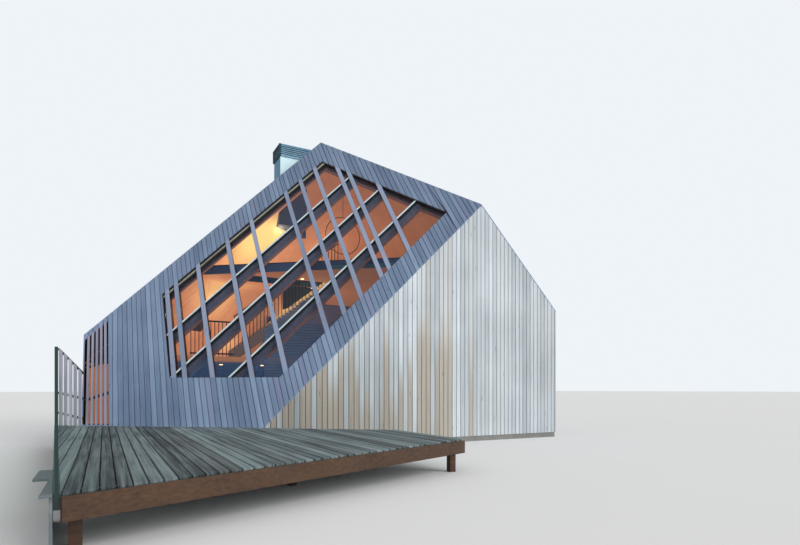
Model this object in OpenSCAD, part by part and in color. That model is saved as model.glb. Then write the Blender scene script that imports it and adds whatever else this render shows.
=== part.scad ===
// Beach house: a timber-clad polygonal dune house with a raised deck.
// The origin lies on the ground under the roof's apex, +X runs along the gable walls
// towards the eaves wall, and +Y runs away from the deck. The house is symmetrical about y = 0.

/* [House form] */
// Height of the apex above the deck
apex_h = 9700; // [9000:50:10400]
// Distance from the apex to each gable wall
half_len = 5120; // [4600:20:5600]
// Distance of each gable's peak from the apex line
peak_x = 3200; // [2800:50:3500]
// Distance of the eaves wall from the apex line
eave_x = 6200; // [5700:50:6600]
// Distance of the front corner's foot from the apex line
foot_x = 3400; // [3200:50:3600]
// Distance of the narrow end wall from the apex line
end_x = 7280; // [7000:20:7500]
// Height of the deck and the ground floor above the ground
deck_h = 600; // [500:10:800]

/* [Walls and roof] */
// Thickness of the board cladding
clad_t = 30; // [24:1:40]
// Thickness of the roof slabs under the cladding
roof_t = 360; // [280:10:400]
// Thickness of the gable and eaves walls under the cladding
wall_t = 300; // [240:10:360]
// Thickness of the narrow end wall under the cladding
end_t = 60; // [50:5:90]
// Height at which the wall cladding stops above the ground
skirt_z = 150; // [80:10:240]
// Thickness of the ground floor slab
floor_t = 250; // [180:10:320]
// Thickness of the plinth walls
plinth_t = 300; // [200:10:360]

/* [Boards] */
// Distance from one board to the next, measured across the boards
board_pitch = 147.5; // [140:0.5:155]
// Face width of one board
board_w = 140; // [120:1:142]
// Distance of the first board over the glass from the apex line
board_x = 5130; // [5080:10:5180]
// Distance behind the gable wall's face at which the boards' places are measured
board_level = 2250; // [2000:50:2500]
// Lean of the boards towards the hip, in plan
board_lean = 0.7; // [0:0.1:1.5]

/* [Large window] */
// Distance of the window's upright edge from the apex line
win_left = 5240; // [4900:20:5500]
// Height of the window's sill above the deck
win_sill = 1250; // [1000:25:1500]
// Distance of the window's lower slanting edge from the gable wall
win_low = 530; // [450:10:700]
// Distance of the window's upper slanting edge from the ridge
win_top = 600; // [480:10:760]
// Distance of the window's right edge from the roof's hip, along x
win_hip = 560; // [480:10:700]
// Thickness of the lining round the window
lining_t = 25; // [18:1:32]
// Width of the metal strip along the window's head
head_w = 110; // [80:5:140]
// Width of a glazing cap
cap_w = 60; // [45:1:75]
// Height of a glazing cap
cap_t = 45; // [35:1:55]
// Thickness of the glass
glass_t = 30; // [20:1:36]
// Width of a glazing beam
beam_w = 80; // [60:2:100]
// Depth of a glazing beam
beam_d = 160; // [120:5:240]

/* [Slatted screens] */
// Distance of the screened opening's far side from the narrow end wall's face
screen_w = 628; // [600:4:660]
// Height of the screened opening's sill above the deck
screen_sill = 20; // [10:5:100]
// Distance of the screened opening from the apex line, along y
screen_head = 120; // [80:10:300]
// Distance of the first slat from the narrow end wall's face
slat_edge = 96; // [80:2:100]
// Width of a slat
slat_w = 66; // [40:1:80]
// Distance from one slat to the next
slat_pitch = 106; // [90:1:112]
// Number of slats on a screen
slat_n = 5; // [4:1:5]
// Side of a rail behind the slats
rail_t = 55; // [35:1:60]
// Height of the lower rail above the deck, in the middle of the screen
rail_low = 780; // [600:10:900]
// Distance of the upper rail above the lower one, measured along the slats
rail_gap = 1150; // [900:10:1300]

/* [Side fence and windscreen] */
// Length of the slatted fence along the foot of the slope, measured along x
fence_run = 560; // [400:10:700]
// Height of the fence at the house
fence_low = 1380; // [1200:20:1500]
// Height of the fence at its free end
fence_high = 2060; // [1800:20:2200]
// Number of slats in the fence
fence_n = 5; // [4:1:5]
// Width of a slat in the fence
fence_slat_w = 90; // [60:1:110]
// Distance from one slat of the fence to the next
fence_pitch = 143; // [120:1:150]
// Rise of the fence's rails from the house to the free end
fence_rise = 150; // [0:10:240]
// Height of the glass windscreen above the deck
screen_h = 1320; // [1100:20:1500]
// Thickness of the windscreen's glass
screen_t = 28; // [20:1:32]
// Height of the metal shoe that holds the glass on the deck's edge
shoe_h = 150; // [120:5:190]

/* [Deck] */
// Distance of the deck's near left corner in front of the gable wall
deck_reach = 7490; // [6800:10:7800]
// Distance of the deck's near left corner from the apex line
deck_left = 7110; // [7050:10:7300]
// Distance of the deck's right edge beyond the front corner's foot
deck_right = 2600; // [2200:20:3000]
// Angle of the deck's front edge
deck_turn = 23.4; // [18:0.2:24]
// Thickness of the deck boards
plank_t = 28; // [24:1:40]
// Depth of the joists under the deck
joist_d = 170; // [140:5:200]
// Width of a joist
joist_w = 60; // [45:1:75]
// Number of joists
joist_n = 9; // [8:1:9]
// Distance between joists
joist_gap = 1200; // [1000:20:1220]
// Distance of the first joist behind the deck's near left corner
joist_edge = 300; // [250:10:400]
// Side of a deck post
post_w = 120; // [100:5:150]
// Length of joist over which a post stands between the two at its ends
post_run = 2000; // [1800:50:2400]
// Thickness of the board along the deck's front
fascia_t = 40; // [28:1:50]
// How far that board hangs below the joists
fascia_drop = 60; // [20:5:100]

/* [Side step] */
// Width of the step's near part, beyond the deck's near left corner
step_near = 160; // [120:5:200]
// Width of the step's far part, beyond the same corner
step_far = 310; // [260:5:360]
// Distance behind that corner at which the step widens
step_start = 1030; // [700:10:1300]
// Length of the step's wide part
step_len = 730; // [500:10:900]

/* [Floors and stair] */
// Height of the top of the mid floor above the deck
mid_h = 1950; // [1800:10:2100]
// Distance of the mid floor's open edge from the apex line, towards the deck
mid_edge = 1000; // [800:20:1300]
// Distance of the mid floor's far end from the apex line
mid_end = 4900; // [4600:20:5200]
// Height of the top of the upper floor above the deck
upper_h = 4870; // [4750:10:5000]
// Thickness of the upper floor with its beams
upper_t = 340; // [280:10:400]
// Thickness of the mid floor
mid_t = 240; // [180:10:300]
// Height of the balustrades
rail_h = 1090; // [1000:10:1150]
// Side of a handrail
hand_w = 45; // [35:1:55]
// Side of a baluster
bar_w = 20; // [12:1:26]
// Distance from one baluster to the next
bar_gap = 115; // [90:1:118]
// Distance of the mid balustrade's far end from the apex line
rail_x = 4500; // [4200:20:4700]
// Distance of the stair's foot from the apex line
stair_x = 3200; // [3000:20:3300]
// Width of the stair
stair_w = 900; // [800:10:1000]
// Number of risers
stair_n = 15; // [14:1:16]
// Going of a step
stair_going = 250; // [230:5:260]
// Thickness of a tread
tread_t = 40; // [30:1:50]
// Thickness of a string
string_t = 50; // [35:1:60]
// Upright depth of a string
string_d = 380; // [320:10:400]
// How far a string stands above the treads' front edges
string_up = 30; // [15:5:50]
// Gap between the stair and the edge of its well
well_gap = 60; // [30:5:100]

/* [Chimney] */
// Distance of the chimney's corner from the apex line, towards the narrow end
stack_x = 1200; // [1000:10:1400]
// Distance of the chimney's front from the ridge
stack_y = 910; // [850:10:1100]
// Length of the chimney along x
stack_w = 1500; // [1200:20:1700]
// Depth of the chimney along y
stack_d = 800; // [700:10:900]
// Height of the chimney's top above the roof's apex
stack_rise = 60; // [0:10:200]
// Height of the chimney's louvred cap
hood_h = 440; // [300:10:500]
// How far the cap stands out past the stack
hood_out = 40; // [20:2:60]
// Wall of the stack
stack_t = 60; // [40:5:90]
// Thickness of the cap's base and lid
hood_t = 30; // [20:1:35]
// Side of a post of the cap
hood_post = 45; // [35:1:60]
// Number of louvre blades on a side of the cap
louvre_n = 6; // [4:1:8]
// Thickness of a louvre blade
louvre_t = 12; // [6:1:16]
// Rise of a louvre blade towards the inside
louvre_rise = 34; // [20:1:40]
// Diameter of the flue
flue_d = 300; // [200:10:400]
// Wall of the flue
flue_t = 10; // [4:1:20]

/* [Hidden] */

// A length beyond every part of the house
far = 30000;
// Rise of the glazed slope along x and along y
gx = (apex_h - peak_x) / (peak_x + foot_x);
gy = (apex_h - gx * foot_x) / half_len;
g = norm([gx, gy]);
pitch = atan(g);
// Where the glazed slope's foot meets the narrow end wall
end_y = half_len - gx * (end_x - foot_x) / gy;
// Height of the chimney's top above the deck
stack_h = apex_h + stack_rise;
// Distance inside the clad face at which each layer of the glazed slope starts
cap_d = clad_t;
glass_d = cap_d + cap_t;
beam_top = glass_d + glass_t;
shell_d = clad_t + roof_t;

timber_grey = [0.50, 0.52, 0.60];
gable_grey = [0.72, 0.71, 0.69];
structure = [0.25, 0.24, 0.24];
warm_wood = [0.85, 0.55, 0.28];
dark_metal = [0.22, 0.27, 0.27];
pale_metal = [0.80, 0.83, 0.84];
deck_grey = [0.46, 0.52, 0.56];
concrete = [0.55, 0.55, 0.53];
glazing = [0.35, 0.45, 0.52, 0.5];

// Place on the glazed slope: u along its foot, v up it, w out of it
module on_slope() {
    translate([-foot_x, -half_len, deck_h])
        rotate([0, 0, atan2(-gx, gy)])
            rotate([pitch, 0, 0])
                children();
}

// A plan point brought into the glazed slope's own u and v
function slope_uv(p) = let (x = p[0] + foot_x, y = p[1] + half_len)
    [(x * gy - y * gx) / g, (x * gx + y * gy) / sin(pitch)];

// Angle of the boards in the glazed slope, from its foot
board_turn = let (v = slope_uv([sin(board_lean) - foot_x, cos(board_lean) - half_len])) atan2(v[1], v[0]);

// Length in the slope that changes a x + b y by 1
function slope_rate(a, b) = sqrt(a * a + b * b - pow((a * gx + b * gy) * cos(pitch), 2));

// Plan y on the slope at x and height z above the deck, and plan x at y and height z
function slope_y(x, z) = (z - gx * (x + foot_x)) / gy - half_len;
function slope_x(y, z) = (z - gy * (y + half_len)) / gx - foot_x;

// Plan x of the hip where the glazed slope meets the right slope
function hip_x(y) = (apex_h - gx * foot_x - gy * (y + half_len)) / (1 + gx);

// Outline of the large window, in the slope's u and v, drawn in by d
function window_outline(d) = let (
        left = -win_left + d * slope_rate(1, 0),
        low = -half_len + win_low + d * slope_rate(0, 1),
        top = -win_top - d * slope_rate(0, 1),
        sill = win_sill + d * sin(pitch),
        hip = win_hip + d * slope_rate(1 + gx, gy) / (1 + gx)
    ) [for (p = [
        [left, slope_y(left, sill)],
        [slope_x(low, sill), low],
        [hip_x(low) - hip, low],
        [hip_x(top) - hip, top],
        [left, top]
    ]) slope_uv(p)];

// Everything under the glazed slope once it is drawn in by d
module under_slope(d) {
    on_slope() translate([-far, -far, -d - far]) cube([2 * far, 2 * far, far]);
}

module under_rear(d) {
    mirror([0, 1, 0]) under_slope(d);
}

// Everything under the right slope once it is drawn in by d
module under_right(d) {
    translate([0, 0, deck_h + apex_h]) rotate([0, 45, 0])
        translate([-far, -far, -d - far]) cube([2 * far, 2 * far, far]);
}

module upright_box(d, z0) {
    translate([-end_x + d, -half_len + d, z0])
        cube([end_x + eave_x - 2 * d, 2 * (half_len - d), far]);
}

// The whole house from the deck's level up, drawn in by d on every face
module house(d) {
    intersection() {
        upright_box(d, deck_h);
        under_slope(d);
        under_rear(d);
        under_right(d);
    }
}

module roofed(d) {
    intersection() {
        children();
        under_slope(d);
        under_rear(d);
        under_right(d);
    }
}

module front_half() {
    intersection() {
        children();
        translate([-far, -far, 0]) cube([2 * far, far, far]);
    }
}

// Footprint of the house, drawn in by d
function foot_corner_x(d) = -foot_x + d * (g - gy) / gx;
function end_corner_y(d) = -half_len + (d * g - gx * (foot_x - end_x + d)) / gy;
function footprint(d) = [
    [foot_corner_x(d), -half_len + d], [eave_x - d, -half_len + d],
    [eave_x - d, half_len - d], [foot_corner_x(d), half_len - d],
    [-end_x + d, -end_corner_y(d)], [-end_x + d, end_corner_y(d)]
];

module window_hole() {
    on_slope() translate([0, 0, -2 * roof_t]) linear_extrude(3 * roof_t)
        polygon(window_outline(0));
}

module window_layer(depth, thick, inset) {
    on_slope() translate([0, 0, -depth - thick]) linear_extrude(thick)
        polygon(window_outline(inset));
}

// The screened opening beside the narrow end wall, as an upright block
screen_x0 = -end_x + clad_t;
screen_x1 = -end_x + screen_w;
module screen_hole() {
    translate([screen_x0, -far, deck_h + screen_sill])
        cube([screen_x1 - screen_x0, far - screen_head, far]);
}

// Foundation walls round the house, with one under the ridge that halves the floor's span
module plinth() {
    color(concrete) linear_extrude(deck_h - floor_t) {
        difference() {
            polygon(footprint(clad_t));
            polygon(footprint(clad_t + plinth_t));
        }
        translate([-end_x + clad_t, -plinth_t / 2]) square([end_x + eave_x - 2 * clad_t, plinth_t]);
    }
}

module ground_floor() {
    color(warm_wood) translate([0, 0, deck_h - floor_t]) linear_extrude(floor_t)
        polygon(footprint(clad_t));
}

module slope_slab() {
    front_half() difference() {
        house(clad_t);
        under_slope(shell_d);
        screen_hole();
    }
}

module front_slope() {
    color(structure) difference() {
        slope_slab();
        window_hole();
    }
}

module rear_slope() {
    color(structure) mirror([0, 1, 0]) slope_slab();
}

module right_slope() {
    color(structure) difference() {
        intersection() {
            house(clad_t);
            under_slope(shell_d);
            under_rear(shell_d);
        }
        under_right(shell_d);
    }
}

// Upright plate in the shape of a gable, from y = 0 to y = t
module gable_plate(t, bottom) {
    translate([0, t, 0]) rotate([90, 0, 0]) linear_extrude(t) polygon([
        [-foot_x, bottom], [eave_x, bottom], [eave_x, deck_h + apex_h - eave_x],
        [peak_x, deck_h + apex_h - peak_x], [-foot_x, deck_h]
    ]);
}

module gable_wall() {
    intersection() {
        roofed(shell_d) translate([0, -half_len + clad_t, 0]) gable_plate(wall_t, deck_h);
        upright_box(clad_t, 0);
    }
}

module gable_cladding() {
    roofed(clad_t) translate([0, -half_len, 0]) gable_plate(clad_t, skirt_z);
}

module front_gable_wall() {
    color(structure) gable_wall();
}

module rear_gable_wall() {
    color(structure) mirror([0, 1, 0]) gable_wall();
}

module front_gable_cladding() {
    color(gable_grey) gable_cladding();
}

module rear_gable_cladding() {
    color(gable_grey) mirror([0, 1, 0]) gable_cladding();
}

module eaves_wall() {
    inner = half_len - clad_t - wall_t;
    color(structure) roofed(shell_d)
        translate([eave_x - clad_t - wall_t, -inner, deck_h]) cube([wall_t, 2 * inner, far]);
}

module eaves_cladding() {
    inner = half_len - clad_t;
    color(gable_grey) roofed(clad_t)
        translate([eave_x - clad_t, -inner, skirt_z]) cube([clad_t, 2 * inner, far]);
}

module end_wall() {
    color(structure) roofed(shell_d)
        translate([-end_x + clad_t, -half_len, deck_h]) cube([end_t, 2 * half_len, far]);
}

module end_cladding() {
    color(timber_grey) roofed(clad_t)
        translate([-end_x, -half_len, deck_h]) cube([clad_t, 2 * half_len, far]);
}

module slope_cladding() {
    front_half() difference() {
        house(0);
        under_slope(clad_t);
        screen_hole();
    }
}

module front_slope_cladding() {
    color(timber_grey) difference() {
        slope_cladding();
        window_hole();
    }
}

module rear_slope_cladding() {
    color(timber_grey) mirror([0, 1, 0]) slope_cladding();
}

module right_slope_cladding() {
    color(timber_grey) difference() {
        intersection() {
            house(0);
            under_slope(clad_t);
            under_rear(clad_t);
        }
        under_right(clad_t);
    }
}

module window_lining() {
    color(warm_wood) difference() {
        window_layer(clad_t, roof_t, 0);
        window_layer(0, 2 * roof_t, lining_t);
    }
}

// Metal strip under the boards, along the window's upper edge
module window_head() {
    color(pale_metal) intersection() {
        window_layer(cap_d, cap_t, lining_t);
        translate([-far, -win_top - head_w, 0]) cube([2 * far, far, far]);
    }
}

module window_glass() {
    color(glazing) window_layer(glass_d, glass_t, lining_t);
}

// Places of the glazing beams behind the gable wall's face
beam_y = [1450, 2490, 3470];

module beam_strips(depth, thick, width) {
    for (y = beam_y) intersection() {
        window_layer(depth, thick, lining_t);
        translate([-far, -half_len + y - width / 2, 0]) cube([2 * far, width, far]);
    }
}

module glazing_beams() {
    color(dark_metal) beam_strips(beam_top, beam_d, beam_w);
}

module glazing_caps() {
    color(pale_metal) beam_strips(cap_d, cap_t, cap_w);
}

// Which of the slope's boards run on over the glass, counted from the first
glass_boards = [0, 2, 7, 14, 20, 29, 33, 37, 42, 44, 49];

// The boards that run on over the glass
module window_boards() {
    step = board_pitch * slope_rate(1, 0);
    width = board_w * slope_rate(1, 0);
    color(timber_grey) for (i = glass_boards) intersection() {
        window_layer(0, clad_t, 0);
        translate([-board_x + i * step, -half_len + board_level, 0]) rotate([0, 0, -board_lean])
            translate([-width / 2, -far, 0]) cube([width, 2 * far, far]);
    }
}

module screen_slats() {
    intersection() {
        front_half() difference() {
            house(0);
            under_slope(clad_t);
        }
        screen_hole();
        for (i = [0:slat_n - 1])
            translate([-end_x + slat_edge + i * slat_pitch, -far, 0]) cube([slat_w, far, far]);
    }
}

module screen_layer(depth, thick) {
    intersection() {
        difference() {
            house(depth);
            under_slope(depth + thick);
        }
        screen_hole();
    }
}

// Two rails behind the slats, square to them
module screen_rails() {
    middle = (screen_x0 + screen_x1) / 2;
    place = slope_uv([middle, slope_y(middle, rail_low)]);
    for (up = [0, rail_gap]) intersection() {
        front_half() screen_layer(clad_t, rail_t);
        on_slope() translate([place[0], place[1], -roof_t]) rotate([0, 0, board_turn])
            translate([up - rail_t / 2, -screen_w, 0]) cube([rail_t, 2 * screen_w, roof_t]);
    }
}

module screen_glass() {
    front_half() screen_layer(clad_t + rail_t, glass_t);
}

module front_screen_slats() {
    color(timber_grey) screen_slats();
}

module front_screen_rails() {
    color(dark_metal) screen_rails();
}

module front_screen_glass() {
    color(glazing) screen_glass();
}

module rear_screen_slats() {
    color(timber_grey) mirror([0, 1, 0]) screen_slats();
}

module rear_screen_rails() {
    color(dark_metal) mirror([0, 1, 0]) screen_rails();
}

module rear_screen_glass() {
    color(glazing) mirror([0, 1, 0]) screen_glass();
}

// Place along the foot of the slope, starting at the narrow end wall and running away from the house
fence_len = fence_run * g / gy;
module at_fence() {
    translate([-end_x, -end_y, deck_h]) rotate([0, 0, atan2(gx, -gy)]) children();
}

// Heights of the fence's rails above the deck, at the house
fence_rail_z = [150, 670];

module side_fence() {
    color(timber_grey) at_fence() rotate([90, 0, 0]) {
        intersection() {
            linear_extrude(clad_t) polygon([
                [0, 0], [fence_len, 0], [fence_len, fence_high], [0, fence_low]
            ]);
            for (i = [0:fence_n - 1]) translate([i * fence_pitch, 0, 0]) cube([fence_slat_w, far, clad_t]);
        }
        for (z = fence_rail_z) translate([0, 0, clad_t]) linear_extrude(rail_t) polygon([
            [0, z], [fence_len, z + fence_rise], [fence_len, z + fence_rise + rail_t], [0, z + rail_t]
        ]);
    }
}

// Outline of the deck
front_corner = [-deck_left, -half_len - deck_reach];
right_corner_x = -foot_x + deck_right;
right_front_y = front_corner[1] + (right_corner_x - front_corner[0]) * tan(deck_turn);
fence_end = [-end_x - fence_run, -end_y + fence_run * gx / gy];
deck_outline = [
    front_corner,
    [right_corner_x, right_front_y],
    [right_corner_x, slope_y(right_corner_x, 0)],
    [-foot_x, -half_len],
    [-end_x, -end_y],
    fence_end
];

module deck_boards() {
    color(deck_grey) translate([0, 0, deck_h - plank_t]) linear_extrude(plank_t)
        polygon(deck_outline);
}

// Deck edges at a plan y: the left edge, and the right one, cut by the slanting front
function deck_left_x(y) = front_corner[0]
    + (y - front_corner[1]) * (fence_end[0] - front_corner[0]) / (fence_end[1] - front_corner[1]);
function deck_right_x(y) = min(right_corner_x, slope_x(y, 0),
    front_corner[0] + (y - front_corner[1]) / tan(deck_turn));

joist_y = [for (i = [0:joist_n - 1]) front_corner[1] + joist_edge + i * joist_gap];

module deck_joists() {
    color(warm_wood) for (y = joist_y) intersection() {
        translate([0, 0, deck_h - plank_t - joist_d]) linear_extrude(joist_d) polygon(deck_outline);
        translate([-far, y, 0]) cube([2 * far, joist_w, far]);
    }
}

// A post under each end of every second joist, and one between
module deck_posts() {
    color(warm_wood) for (i = [0:2:joist_n - 1]) {
        y = joist_y[i];
        left = deck_left_x(y) + post_w / 2;
        run = deck_right_x(y) - 2 * post_w - left;
        for (part = run > post_run ? [0, 0.5, 1] : [0]) translate([left + part * run, y, 0])
            cube([post_w, post_w, deck_h - plank_t - joist_d]);
    }
}

module deck_fascia() {
    run = (right_corner_x - front_corner[0]) / cos(deck_turn);
    color(deck_grey) translate([front_corner[0], front_corner[1], deck_h - plank_t - joist_d])
        rotate([0, 0, deck_turn]) translate([0, -fascia_t, -fascia_drop])
            cube([run, fascia_t, joist_d + fascia_drop]);
}

// Outline with its first value off the deck's left edge and its second one up,
// drawn out along that edge
left_edge = fence_end - front_corner;
module along_left_edge(start, length) {
    translate([front_corner[0], front_corner[1], 0]) rotate([0, 0, atan2(left_edge[1], left_edge[0])])
        translate([start, 0, 0]) rotate([90, 0, 90]) linear_extrude(length) children();
}

// Walls of the shoe, and how far the glass stands above its underside
shoe_wall = 16;
shoe_base = 80;
shoe_w = 2 * shoe_wall + screen_t;

module windscreen_glass() {
    color(glazing) along_left_edge(0, norm(left_edge))
        translate([shoe_wall, deck_h - shoe_h + shoe_base]) square([screen_t, shoe_h - shoe_base + screen_h]);
}

module windscreen_shoe() {
    color(dark_metal) along_left_edge(0, norm(left_edge)) translate([0, deck_h - shoe_h]) polygon([
        [0, 0], [shoe_w, 0], [shoe_w, shoe_h], [shoe_w - shoe_wall, shoe_h],
        [shoe_w - shoe_wall, shoe_base], [shoe_wall, shoe_base], [shoe_wall, shoe_h], [0, shoe_h]
    ]);
}

// Narrow step outside the windscreen, level with the deck, on a board that stands on the ground
module side_step() {
    near_x = front_corner[0] - step_near;
    far_x = front_corner[0] - step_far;
    start_y = front_corner[1] + step_start;
    end_y = start_y + step_len;
    color(deck_grey) {
        difference() {
            translate([0, 0, deck_h - plank_t]) linear_extrude(plank_t) polygon([
                front_corner, [near_x, front_corner[1] - step_near * tan(deck_turn)], [near_x, start_y],
                [far_x, start_y], [far_x, end_y], [front_corner[0], end_y]
            ]);
            along_left_edge(-far, 2 * far) translate([shoe_w - far, 0]) square([far, far]);
        }
        along_left_edge(0, step_start + step_len - plank_t) translate([shoe_w, 0]) square([plank_t, deck_h]);
    }
}

module inside(clear) {
    intersection() {
        upright_box(clad_t + wall_t + clear, 0);
        under_slope(shell_d + clear);
        under_rear(shell_d + clear);
        under_right(shell_d + clear);
    }
}

module mid_floor() {
    color(warm_wood) intersection() {
        inside(0);
        translate([-mid_end, -mid_edge, deck_h + mid_h - mid_t]) cube([far, far, mid_t]);
    }
}

// Total rise of the stair, one riser, its run, and the plan y of its near side
stair_h = upper_h - mid_h;
riser = stair_h / stair_n;
stair_run = (stair_n - 1) * stair_going;
stair_y = well_gap - mid_edge;

// The floor's well leaves two goings of headroom at the stair's foot and ends at the stair's head
module upper_floor() {
    well_x = 2 * stair_going;
    color(dark_metal) difference() {
        intersection() {
            inside(0);
            translate([-far, -far, deck_h + upper_h - upper_t]) cube([2 * far, 2 * far, upper_t]);
        }
        translate([-stair_x + well_x, stair_y - well_gap, deck_h])
            cube([stair_run - well_x, stair_w + 2 * well_gap, far]);
    }
}

module balusters(length, tall) {
    for (x = [bar_w:bar_gap:length - bar_w]) translate([x, 0, 0]) cube([bar_w, bar_w, tall]);
}

module mid_balustrade() {
    run = rail_x - stair_x;
    color(dark_metal) translate([-rail_x, -mid_edge, deck_h + mid_h]) {
        for (z = [bar_gap / 2, rail_h - hand_w]) translate([0, 0, z]) cube([run, hand_w, hand_w]);
        translate([0, (hand_w - bar_w) / 2, 0]) balusters(run, rail_h - hand_w);
    }
}

// Place at the stair's foot, with the stair's outlines upright along x, off its near side by y
module at_stair(y, t) {
    translate([-stair_x, stair_y + y + t, deck_h + mid_h]) rotate([90, 0, 0]) linear_extrude(t) children();
}

// Rise of the stair for each length along it
stair_rate = riser / stair_going;

module stair_flight() {
    foot = (string_d - string_up - riser) / stair_rate;
    head = stair_h + string_up;
    color(warm_wood) {
        for (y = [0, stair_w - string_t]) at_stair(y, string_t) polygon([
            [0, 0], [foot, 0], [stair_run, head - string_d], [stair_run, head], [0, riser + string_up]
        ]);
        at_stair(string_t, stair_w - 2 * string_t) for (i = [1:stair_n - 1])
            translate([(i - 1) * stair_going, i * riser - tread_t]) square([stair_going, tread_t]);
    }
}

// Handrail and balusters that stand on the near string
module stair_balustrade() {
    low = riser + rail_h - hand_w;
    middle = low + hand_w / 2;
    foot = riser + string_up;
    color(dark_metal) {
        at_stair((string_t - hand_w) / 2, hand_w) polygon([
            [0, low], [stair_run, low + stair_run * stair_rate],
            [stair_run, low + stair_run * stair_rate + hand_w], [0, low + hand_w]
        ]);
        at_stair((string_t - bar_w) / 2, bar_w) for (x = [bar_w:bar_gap:stair_run - bar_w]) polygon([
            [x, foot + x * stair_rate], [x + bar_w, foot + (x + bar_w) * stair_rate],
            [x + bar_w, middle + (x + bar_w) * stair_rate], [x, middle + x * stair_rate]
        ]);
    }
}

module over_rear_slope() {
    difference() {
        children();
        under_rear(0);
    }
}

module stack_block(out, z0, z1) {
    translate([-stack_x - out, stack_y - out, deck_h + z0])
        cube([stack_w + 2 * out, stack_d + 2 * out, z1 - z0]);
}

// Place in the middle of the chimney, at a height above the deck
module at_stack(z) {
    translate([-stack_x + stack_w / 2, stack_y + stack_d / 2, deck_h + z]) children();
}

module chimney_stack() {
    color(pale_metal) over_rear_slope() difference() {
        stack_block(0, 0, stack_h - hood_h);
        stack_block(-stack_t, 0, stack_h);
    }
}

// A base ring on the stack's walls, four corner posts and a lid
module chimney_cap() {
    color(dark_metal) difference() {
        stack_block(hood_out, stack_h - hood_h, stack_h);
        stack_block(-stack_t, 0, stack_h - hood_t);
        stack_block(hood_out - hood_post, stack_h - hood_h + hood_t, stack_h - hood_t);
        translate([-stack_x - hood_out + hood_post, -far, deck_h + stack_h - hood_h + hood_t])
            cube([stack_w + 2 * (hood_out - hood_post), 2 * far, hood_h - 2 * hood_t]);
        translate([-far, stack_y - hood_out + hood_post, deck_h + stack_h - hood_h + hood_t])
            cube([2 * far, stack_d + 2 * (hood_out - hood_post), hood_h - 2 * hood_t]);
    }
}

// Louvre blades of one side, along x, between two posts
module louvre_side(length) {
    step = (hood_h - 2 * hood_t - louvre_t - louvre_rise) / (louvre_n - 1);
    for (i = [0:louvre_n - 1]) translate([-length / 2, 0, i * step])
        rotate([90, 0, 90]) linear_extrude(length)
            polygon([[0, 0], [0, louvre_t], [hood_post, louvre_t + louvre_rise], [hood_post, louvre_rise]]);
}

// Louvre blades on the four sides of the cap, which slope up towards the inside
module chimney_louvres() {
    color(dark_metal) at_stack(stack_h - hood_h + hood_t) {
        for (turn = [0, 180]) rotate([0, 0, turn]) translate([0, -stack_d / 2 - hood_out, 0])
            louvre_side(stack_w + 2 * (hood_out - hood_post));
        for (turn = [90, 270]) rotate([0, 0, turn]) translate([0, -stack_w / 2 - hood_out, 0])
            louvre_side(stack_d + 2 * (hood_out - hood_post));
    }
}

module chimney_flue() {
    color(pale_metal) over_rear_slope() at_stack(0) difference() {
        cylinder(h = stack_h - hood_h / 2, d = flue_d, $fn = 64);
        translate([0, 0, -1]) cylinder(h = far, d = flue_d - 2 * flue_t, $fn = 64);
    }
}

plinth();
ground_floor();
front_slope();
rear_slope();
right_slope();
front_gable_wall();
rear_gable_wall();
eaves_wall();
end_wall();
front_slope_cladding();
rear_slope_cladding();
right_slope_cladding();
front_gable_cladding();
rear_gable_cladding();
eaves_cladding();
end_cladding();
window_lining();
window_head();
window_glass();
glazing_beams();
glazing_caps();
window_boards();
front_screen_slats();
front_screen_rails();
front_screen_glass();
rear_screen_slats();
rear_screen_rails();
rear_screen_glass();
side_fence();
windscreen_glass();
windscreen_shoe();
deck_boards();
deck_joists();
deck_posts();
deck_fascia();
side_step();
mid_floor();
mid_balustrade();
upper_floor();
stair_flight();
stair_balustrade();
chimney_stack();
chimney_cap();
chimney_louvres();
chimney_flue();
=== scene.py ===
"""Dresses the beach house: single boards, the large slanting window, the deck, the chimney and the rooms.

Every piece is in metres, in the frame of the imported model: +Z up, +X along the gable walls towards the
eaves wall, +Y away from the deck, with the origin on the ground under the apex.
"""
from __future__ import annotations

import logging
import math
import random
from abc import ABC, abstractmethod
from dataclasses import dataclass
from enum import Enum
from typing import Iterator, Sequence, Union

import bmesh
import bpy
from mathutils import Matrix, Vector


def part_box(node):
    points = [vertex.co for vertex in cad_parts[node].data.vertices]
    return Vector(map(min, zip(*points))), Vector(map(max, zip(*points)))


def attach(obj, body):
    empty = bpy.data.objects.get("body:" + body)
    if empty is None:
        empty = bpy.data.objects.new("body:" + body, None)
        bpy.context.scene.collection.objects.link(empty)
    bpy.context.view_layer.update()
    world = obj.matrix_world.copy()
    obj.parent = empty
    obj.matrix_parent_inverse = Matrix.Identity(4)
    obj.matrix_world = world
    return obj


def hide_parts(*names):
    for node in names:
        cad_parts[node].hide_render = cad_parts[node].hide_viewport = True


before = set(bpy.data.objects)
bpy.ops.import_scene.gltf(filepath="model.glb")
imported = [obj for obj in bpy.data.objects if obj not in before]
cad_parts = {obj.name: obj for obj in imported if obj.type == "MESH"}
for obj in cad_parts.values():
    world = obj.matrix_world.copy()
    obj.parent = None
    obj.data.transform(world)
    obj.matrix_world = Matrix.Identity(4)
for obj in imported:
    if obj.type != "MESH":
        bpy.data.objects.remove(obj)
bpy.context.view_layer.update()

log = logging.getLogger("beach_house")

Colour = tuple[float, float, float]
Value = Union["Sock", float, int, Colour, Vector]

SEED = 20
TINY = 1e-5
FAR = 30.0
WOOD_GRAIN = (0.9, 14, 3)


def srgb(*display: int) -> Colour:
    """Linear colour of the red, green and blue of an 8-bit display colour."""
    return tuple(((c / 255 + 0.055) / 1.055) ** 2.4 if c > 10 else c / 255 / 12.92 for c in display)


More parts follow.
